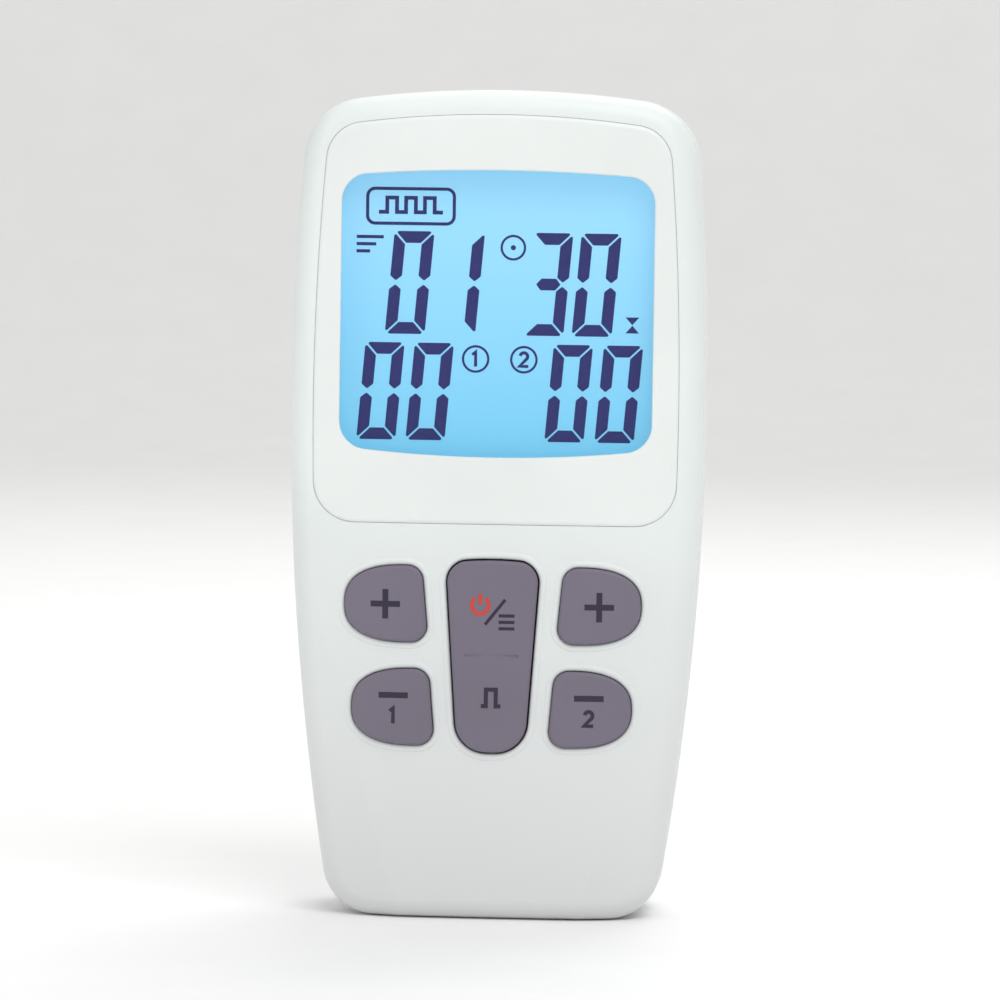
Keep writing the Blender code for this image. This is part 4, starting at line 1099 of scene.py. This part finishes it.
def knuckle_slots():
    """Slots for the battery door's knuckles, open to the rear."""
    reach = KNUCKLE_HALF + 0.3 * MM
    depth = (DOOR_PIVOT.y - 1.2 * MM, REAR + MM)
    height = (DOOR_PIVOT.z - KNUCKLE_R - 0.3 * MM, DOOR_PIVOT.z + 1.5 * MM)
    return [block((x - reach, x + reach), depth, height, 0.12 * MM) for x in (-KNUCKLE_X, KNUCKLE_X)]


def finger_notch():
    """The hollow above the battery door's latch, with round ends."""
    profile = round_ended(6.2 * MM, 2.6 * MM, 1.2 * MM, 8)
    return turned(profile, (0, REAR + 1.2 * MM, DOOR_HIGH.z), X_AXIS, 64)


def screw_seats():
    """Clearance holes and softened seats of the case screws."""
    seat = REAR - 2.4 * MM
    hole = 1.35 * MM
    head = SCREW_HEAD_R + 0.3 * MM
    mouth = head + 0.2 * MM
    profile = [(PARTING_REAR - MM, hole), (seat, hole), (seat, head), (REAR - 0.2 * MM, head)]
    profile += [(REAR - 0.06 * MM, head + 0.05 * MM), (REAR, mouth), (REAR + MM, mouth)]
    return [turned(profile, (x, 0, z), Y_AXIS) for x, z in CASE_SCREWS]


def socket_holes():
    """Round holes in the top end for the output sockets."""
    radius = SOCKET_NOSE_R + 0.3 * MM
    low, high = 106 * MM, HEIGHT + MM
    return [rod((x, SOCKET_Y, 0), radius, low, high, Z_AXIS, 64) for x in (-SOCKET_X, SOCKET_X)]


def pin_hole():
    """The bore that the clip's pin passes through."""
    return rod((0, CLIP_PIVOT.y, CLIP_PIVOT.z), 0.9 * MM, -10 * MM, 10 * MM, X_AXIS, 32)


# ---- door, label, clip, sockets and screws


def battery_door():
    """The battery door with soft edges, knuckles, grip grooves and a sunk label seat."""
    low = DOOR_SILL_Z + DOOR_LIP
    outline = partial(rectangle, DOOR_HIGH.x, low, DOOR_HIGH.z, MM)
    back = REAR - 1.8 * MM
    small = 0.15 * MM
    edge = 0.35 * MM
    rings = [at_depth(outline(-small), back), at_depth(outline(), back + small)]
    rings.append(at_depth(outline(), REAR - edge))
    rings += [at_depth(outline(-edge * inward), REAR - edge * short) for inward, short in quarter(6)]
    door = new_object("battery_cover", loft(rings))
    knuckles = []
    necks = []
    for x in (-KNUCKLE_X, KNUCKLE_X):
        span = (x - KNUCKLE_HALF, x + KNUCKLE_HALF)
        profile = chamfered(*span, KNUCKLE_R, small)
        knuckles.append(turned(profile, (0, DOOR_PIVOT.y, DOOR_PIVOT.z), X_AXIS))
        neck = (DOOR_PIVOT.y - 0.6 * MM, DOOR_PIVOT.y + 0.6 * MM)
        necks.append(block(span, neck, (DOOR_PIVOT.z, low + 0.4 * MM)))
    shape(door, "UNION", knuckles)
    shape(door, "UNION", necks)
    groove = round_ended(6.6 * MM, 1.3 * MM, 0.8 * MM, 6)
    grooves = [turned(groove, (0, REAR + 0.9 * MM, z * MM), X_AXIS) for z in (50, 53, 56)]
    shape(door, "DIFFERENCE", grooves)
    shape(door, "DIFFERENCE", [prism(label_outline(0.2 * MM), REAR - 0.5 * MM, REAR + MM)])
    finish_piece(door, "battery_door", REAR_WHITE, ["battery_door"])
    rear_normals(door)


def blank_label():
    """The battery door's label, with nothing printed on it."""
    low, high = (corner.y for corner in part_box("rating_label"))
    rings = [at_depth(label_outline(-0.05 * MM), low), at_depth(label_outline(), low + 0.05 * MM)]
    rings += [at_depth(label_outline(), high - 0.06 * MM), at_depth(label_outline(-0.06 * MM), high)]
    piece("blank_label", loft(rings), "battery_door", LABEL, ["rating_label"])


def label_outline(grow=0.0):
    """The label on the battery door."""
    return rectangle(14 * MM, 18 * MM, 40 * MM, 1.5 * MM, grow)


def clip_line():
    """Centre line (y, z) of the clip's blade: thumb end, straight run, bend and tongue."""
    outer = CLIP_HIGH.y - CLIP_T / 2
    points = [(outer, CLIP_HIGH.z), (outer, 76 * MM), (outer - 0.6 * MM, 72 * MM)]
    points += [(REAR + y, z) for y, z in in_mm([(2.0, 68), (1.3, 66.8), (1.9, 65.4), (3.0, 64.6)])]
    for share in (0.12, 0.25, 0.25):
        softer = [points[0]]
        for a, b in zip(points, points[1:]):
            softer += between([a, b], [b, a], share)
        points = softer + [points[-1]]
    return points


def clip_half_width(z):
    """Half the clip's width at height z: rounder towards the tongue's end and at the thumb end."""
    top_r = 3 * MM
    low_r = 4 * MM
    half = CLIP_HALF
    above = z - (CLIP_HIGH.z - top_r)
    below = (CLIP_LOW.z + low_r) - z
    if above > 0:
        half -= top_r - math.sqrt(max(0.0, top_r**2 - above**2))
    if below > 0:
        half -= low_r - math.sqrt(max(0.0, low_r**2 - min(below, low_r) ** 2))
    return half


def clip_blade():
    """The blade as rings across its run, each a flat section with round edges."""
    line = clip_line()
    fine = [line[0]]
    for a, b in zip(line, line[1:]):
        pieces = max(1, int((Vector(b) - Vector(a)).length / (0.5 * MM)))
        fine += [tuple(Vector(a).lerp(Vector(b), (i + 1) / pieces)) for i in range(pieces)]
    rings = []
    for i, (y, z) in enumerate(fine):
        along = (Vector(fine[min(i + 1, len(fine) - 1)]) - Vector(fine[max(i - 1, 0)])).normalized()
        away = Vector((along.y, -along.x))
        half = max(clip_half_width(z), 4.5 * MM)
        thick = CLIP_T
        if i in (0, len(fine) - 1):
            thick = CLIP_T * 0.62
        section = rectangle(half, -thick / 2, thick / 2, thick * 0.42, corner_steps=6, side_steps=2)
        rings.append([(x, y + away.x * t, z + away.y * t) for x, t in section])
    return loft(rings)


def belt_clip():
    """The clip's blade with its two lugs and its thumb grooves."""
    clip = new_object("belt_hook", clip_blade())
    lugs = []
    centre = (CLIP_PIVOT.y, CLIP_PIVOT.z)
    root = CLIP_HIGH.y - CLIP_T / 2
    for side in (-1, 1):
        outline = [(root, centre[1] + 3 * MM), (root, centre[1] - 3 * MM)]
        outline += arc(centre, 1.8 * MM, math.radians(230), math.radians(130), 20)
        lugs.append(loft([[(side * 7.3 * MM + s * 0.9 * MM, y, z) for y, z in outline] for s in (-1, 1)]))
    shape(clip, "UNION", lugs)
    grooves = []
    for z in (97.5, 99.5, 101.5):
        grooves.append(rod((0, CLIP_HIGH.y + 0.35 * MM, z * MM), 0.7 * MM, -6 * MM, 6 * MM, X_AXIS, 32))
    shape(clip, "DIFFERENCE", [pin_hole()] + grooves)
    finish_piece(clip, "belt_clip", CLIP_WHITE, ["belt_clip"])


def hinge_pin():
    """The belt clip's pin, with chamfered ends."""
    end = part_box("clip_pin")[1].x
    profile = chamfered(-end, end, 0.8 * MM, 0.18 * MM)
    pin = turned(profile, (0, CLIP_PIVOT.y, CLIP_PIVOT.z), X_AXIS)
    piece("hinge_pin", pin, "housing", STEEL, ["clip_pin"])


def sockets():
    """The two output sockets, each a body and a nose with a rounded mouth."""
    edge = 0.3 * MM
    bore = 2.3 * MM
    for number, side in ((1, -1), (2, 1)):
        low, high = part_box(f"output_socket_{number}")
        centre = (side * SOCKET_X, SOCKET_Y, 0)
        body = block((low.x, high.x), (low.y, high.y), (low.z, SOCKET_SHOULDER_Z), edge)
        socket = new_object(f"lead_socket_{number}", body)
        mouth = high.z
        nose = [(SOCKET_SHOULDER_Z - MM, SOCKET_NOSE_R), (mouth - edge, SOCKET_NOSE_R)]
        nose += [(mouth - edge * short, SOCKET_NOSE_R - edge * inward) for inward, short in quarter(5)]
        shape(socket, "UNION", [turned(nose, centre, Z_AXIS, 64)])
        well = [(SOCKET_FLOOR_Z, bore), (mouth - 0.35 * MM, bore), (mouth - 0.1 * MM, bore + 0.12 * MM)]
        well += [(mouth, bore + edge), (mouth + MM, bore + edge)]
        shape(socket, "DIFFERENCE", [turned(well, centre, Z_AXIS, 64)])
        seat = rod(centre, 1.1 * MM, SOCKET_FLOOR_Z - 2 * MM, SOCKET_FLOOR_Z + MM, Z_AXIS)
        shape(socket, "DIFFERENCE", [seat])
        finish_piece(socket, "housing", BLACK, [f"output_socket_{number}"])


def contact_pins():
    """The contact pin in the middle of each socket, with a round tip."""
    tip = in_mm([(0.7, 1.0), (0.35, 0.9), (0.1, 0.65), (0, 0.35)])
    for number, side in ((1, -1), (2, 1)):
        low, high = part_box(f"socket_pin_{number}")
        profile = [(low.z, MM)] + [(high.z - back, radius) for back, radius in tip]
        pin = turned(profile, (side * SOCKET_X, SOCKET_Y, 0), Z_AXIS, 40)
        piece(f"contact_pin_{number}", pin, "housing", STEEL, [f"socket_pin_{number}"])


def case_screws():
    """Four round-head screws with a cross recess."""
    seat = REAR - 2.1 * MM
    top = seat + 1.5 * MM
    dome = 0.75 * MM
    long, thin = 1.25 * MM, 0.24 * MM
    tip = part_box("case_screw_1")[0].y
    profile = [(tip, 0.4 * MM), (tip + MM, MM), (seat, MM), (seat, SCREW_HEAD_R)]
    profile.append((top - dome, SCREW_HEAD_R))
    profile += [(top - dome * short, SCREW_HEAD_R - 1.9 * dome * inward) for inward, short in quarter(8)]
    for number, (x, z) in enumerate(CASE_SCREWS, start=1):
        screw = new_object(f"cross_screw_{number}", turned(profile, (x, 0, z), Y_AXIS))
        for wide, tall in ((long, thin), (thin, long)):
            rings = []
            for y, share in ((top - 0.9 * MM, 0.45), (top + 0.2 * MM, 1.0)):
                a, b = max(wide * share, thin), max(tall * share, thin)
                rings.append([(x - a, y, z - b), (x + a, y, z - b), (x + a, y, z + b), (x - a, y, z + b)])
            shape(screw, "DIFFERENCE", [loft(rings)])
        finish_piece(screw, "housing", STEEL, [f"case_screw_{number}"])


# ---- inside pieces

COPPER_BAND = 10 * MM


def swept(path, radius, sides=12):
    """A round wire along a list of 3D points."""
    rings = []
    normal = None
    for i, point in enumerate(path):
        ahead = (Vector(path[min(i + 1, len(path) - 1)]) - Vector(path[max(i - 1, 0)])).normalized()
        if normal is None:
            normal = ahead.orthogonal().normalized()
        normal = (normal - ahead * normal.dot(ahead)).normalized()
        side = ahead.cross(normal)
        rings.append([Vector(point) + normal * x + side * y for x, y in circle((0, 0), radius, sides)])
    return loft(rings)


def helix(centre, axis, radius, wire, length, turns):
    """A coil spring of round wire that fits between 0 and length along an axis through centre."""
    turn = Vector((0, 0, 1)).rotation_difference(Vector(axis))
    steps = int(turns * 24)
    path = []
    for i in range(steps + 1):
        angle = 2 * math.pi * turns * i / steps
        rise = wire + (length - 2 * wire) * i / steps
        spot = Vector((radius * math.cos(angle), radius * math.sin(angle), rise))
        path.append(Vector(centre) + turn @ spot)
    return swept(path, wire, 10)


def cells():
    """The cells with their wraps and metal ends; the middle one stands the other way up."""
    for number in (1, 2, 3):
        low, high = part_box(f"battery_{number}")
        centre = ((low.x + high.x) / 2, (low.y + high.y) / 2, 0)
        radius = (high.x - low.x) / 2
        up = number != 2
        profile = cell_profile(high.z - low.z, radius)
        if up:
            profile = [(low.z + along, reach) for along, reach in profile]
        else:
            profile = [(high.z - along, reach) for along, reach in reversed(profile)]
        mesh = turned(profile, centre, Z_AXIS, 64)
        thing = piece(f"cell_{number}", mesh, "housing", WRAP, [f"battery_{number}"])
        thing.data.materials.append(STEEL)
        thing.data.materials.append(COPPER)
        nub_end = high.z if up else low.z
        for face in thing.data.polygons:
            middle = face.center
            if math.hypot(middle.x - centre[0], middle.y - centre[1]) < radius - 0.45 * MM:
                face.material_index = 1
            elif abs(middle.z - nub_end) < COPPER_BAND:
                face.material_index = 2


def cell_profile(length, radius):
    """A cell's (distance along, radius) points, from its flat end to its nub."""
    body = length - 0.9 * MM
    edge = [(0.05, 0.4), (0.2, 0.1), (0.5, 0)]
    shoulder = [(0.5, 0), (0.15, 0.12), (0, 0.45)]
    profile = [(0, 3.6 * MM), (0.12 * MM, 3.9 * MM), (0.12 * MM, radius - 0.75 * MM)]
    profile += [(along, radius - inward) for along, inward in in_mm(edge)]
    profile += [(body - back, radius - inward) for back, inward in in_mm(shoulder)]
    profile += [(body, 2.3 * MM), (body - 0.1 * MM, 2.0 * MM)]
    return profile + [(length - 0.2 * MM, 1.85 * MM), (length, 1.6 * MM)]


def springs():
    """The springs that hold the cells, and the belt clip's spring."""
    for number in (1, 2, 3):
        low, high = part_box(f"battery_{number}")
        middle = ((low.x + high.x) / 2, (low.y + high.y) / 2)
        low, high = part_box(f"battery_spring_{number}")
        coil = helix((*middle, low.z), Z_AXIS, 3.2 * MM, 0.3 * MM, high.z - low.z, 3.5)
        piece(f"cell_spring_{number}", coil, "housing", STEEL, [f"battery_spring_{number}"])
    low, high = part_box("clip_spring")
    pivot = (low.x, CLIP_PIVOT.y, CLIP_PIVOT.z)
    coil = helix(pivot, X_AXIS, 1.25 * MM, 0.25 * MM, high.x - low.x, 5.5)
    piece("torsion_spring", coil, "housing", STEEL, ["clip_spring"])


INSIDE_LOOKS = {
    "lcd_frame": SILICONE,
    "backlight_panel": LABEL,
    "zebra_strip": SILICONE,
    "keypad_mat": SILICONE,
    "main_board": BOARD,
    "microcontroller": BLACK,
    "driver_chip": BLACK,
    "crystal": STEEL,
    "buzzer": BLACK,
    "capacitor_1": WRAP,
    "capacitor_2": WRAP,
    "output_transformer_1": GOLD,
    "output_transformer_2": GOLD,
    "wire_positive": RED,
    "wire_negative": BLACK,
}


def inside():
    """Node materials for every solid that is carried over from the frame."""
    for name, thing in frame["nodes"].items():
        if thing.hide_render:
            continue
        looks = INSIDE_LOOKS.get(name, STEEL)
        thing.data.materials.clear()
        thing.data.materials.append(looks)


# ---- floor, light and camera

MIDDLE = (0, 0, 55 * MM)
CAMERA_AZIMUTH = math.radians(3.2)
CAMERA_ELEVATION = math.radians(3.4)
CAMERA_ROLL = math.radians(0.8)
CAMERA_DISTANCE = 0.7
CAMERA_LENS = 187


def sweep():
    """A pale floor, just under the unit, that curves up into the backdrop."""
    half, front, back, top = 2.4, -1.6, 1.6, 2.2
    curve = 0.5
    drop = 0.1 * MM
    profile = [(front, 0.0), (back - curve, 0.0)]
    profile += [(back - curve * short, curve * inward) for inward, short in quarter(16)] + [(back, top)]
    mesh = bmesh.new()
    sides = [[mesh.verts.new((x, y, z - drop)) for y, z in profile] for x in (-half, half)]
    for i in range(len(profile) - 1):
        mesh.faces.new((sides[0][i], sides[1][i], sides[1][i + 1], sides[0][i + 1]))
    thing = new_object("studio_sweep", mesh)
    thing.data.shade_smooth()
    looks = plastic("studio_paper", (0.93, 0.93, 0.93), 0.8, 600.0, 0.02, 0.01, 0.0)
    thing.data.materials.append(looks)
    thing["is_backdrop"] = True


def soft_light(name, place, target, size, power):
    """A square area light that points at a target."""
    light = bpy.data.lights.new(name, "AREA")
    light.size = size
    light.energy = power
    thing = bpy.data.objects.new(name, light)
    thing.location = place
    thing.rotation_euler = (Vector(target) - Vector(place)).to_track_quat("-Z", "Y").to_euler()
    bpy.context.collection.objects.link(thing)


def lights():
    """A bright even studio: a big light above, softer ones around it and one on the backdrop."""
    soft_light("key_light", (0.3, -0.55, 0.75), MIDDLE, 0.6, 3.6)
    soft_light("fill_light", (-0.6, -0.5, 0.35), MIDDLE, 0.6, 1.1)
    soft_light("rear_light", (0.15, 0.5, 0.7), MIDDLE, 0.5, 1.9)
    soft_light("backdrop_light", (0, 0.4, 1.3), (0, 1.6, 0.4), 1.4, 5.0)
    world = bpy.data.worlds.new("studio")
    bpy.context.scene.world = world
    world.use_nodes = True
    background = world.node_tree.nodes["Background"]
    background.inputs["Color"].default_value = (1.0, 0.992, 0.98, 1)
    background.inputs["Strength"].default_value = 0.51


def camera():
    """The camera, slightly to the right and above, turned a little on its axis."""
    level = math.cos(CAMERA_ELEVATION)
    across, along = math.sin(CAMERA_AZIMUTH) * level, math.cos(CAMERA_AZIMUTH) * level
    back = Vector((across, -along, math.sin(CAMERA_ELEVATION)))
    data = bpy.data.cameras.new("camera")
    data.lens = CAMERA_LENS
    thing = bpy.data.objects.new("camera", data)
    thing.location = Vector(MIDDLE) + back * CAMERA_DISTANCE
    turn = (-back).to_track_quat("-Z", "Y")
    thing.rotation_mode = "QUATERNION"
    thing.rotation_quaternion = turn @ Quaternion(Z_AXIS, CAMERA_ROLL)
    bpy.context.collection.objects.link(thing)
    bpy.context.scene.camera = thing


def keep_sizes():
    """Gather the boxes of the CAD model and of the visual model."""
    bpy.context.view_layer.update()
    boxes = {"cad": CAD_BOX, "visual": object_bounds()}
    sizes = {name: [list(corner) for corner in box] for name, box in boxes.items()}


def main():
    """Make every piece, then the studio."""
    front_shell()
    surround()
    window()
    display()
    keys()
    key_marks()
    rear_shell()
    battery_door()
    blank_label()
    belt_clip()
    hinge_pin()
    sockets()
    contact_pins()
    case_screws()
    cells()
    springs()
    inside()
    sweep()
    lights()
    camera()
    bpy.context.scene.view_settings.view_transform = "Standard"
    keep_sizes()


main()
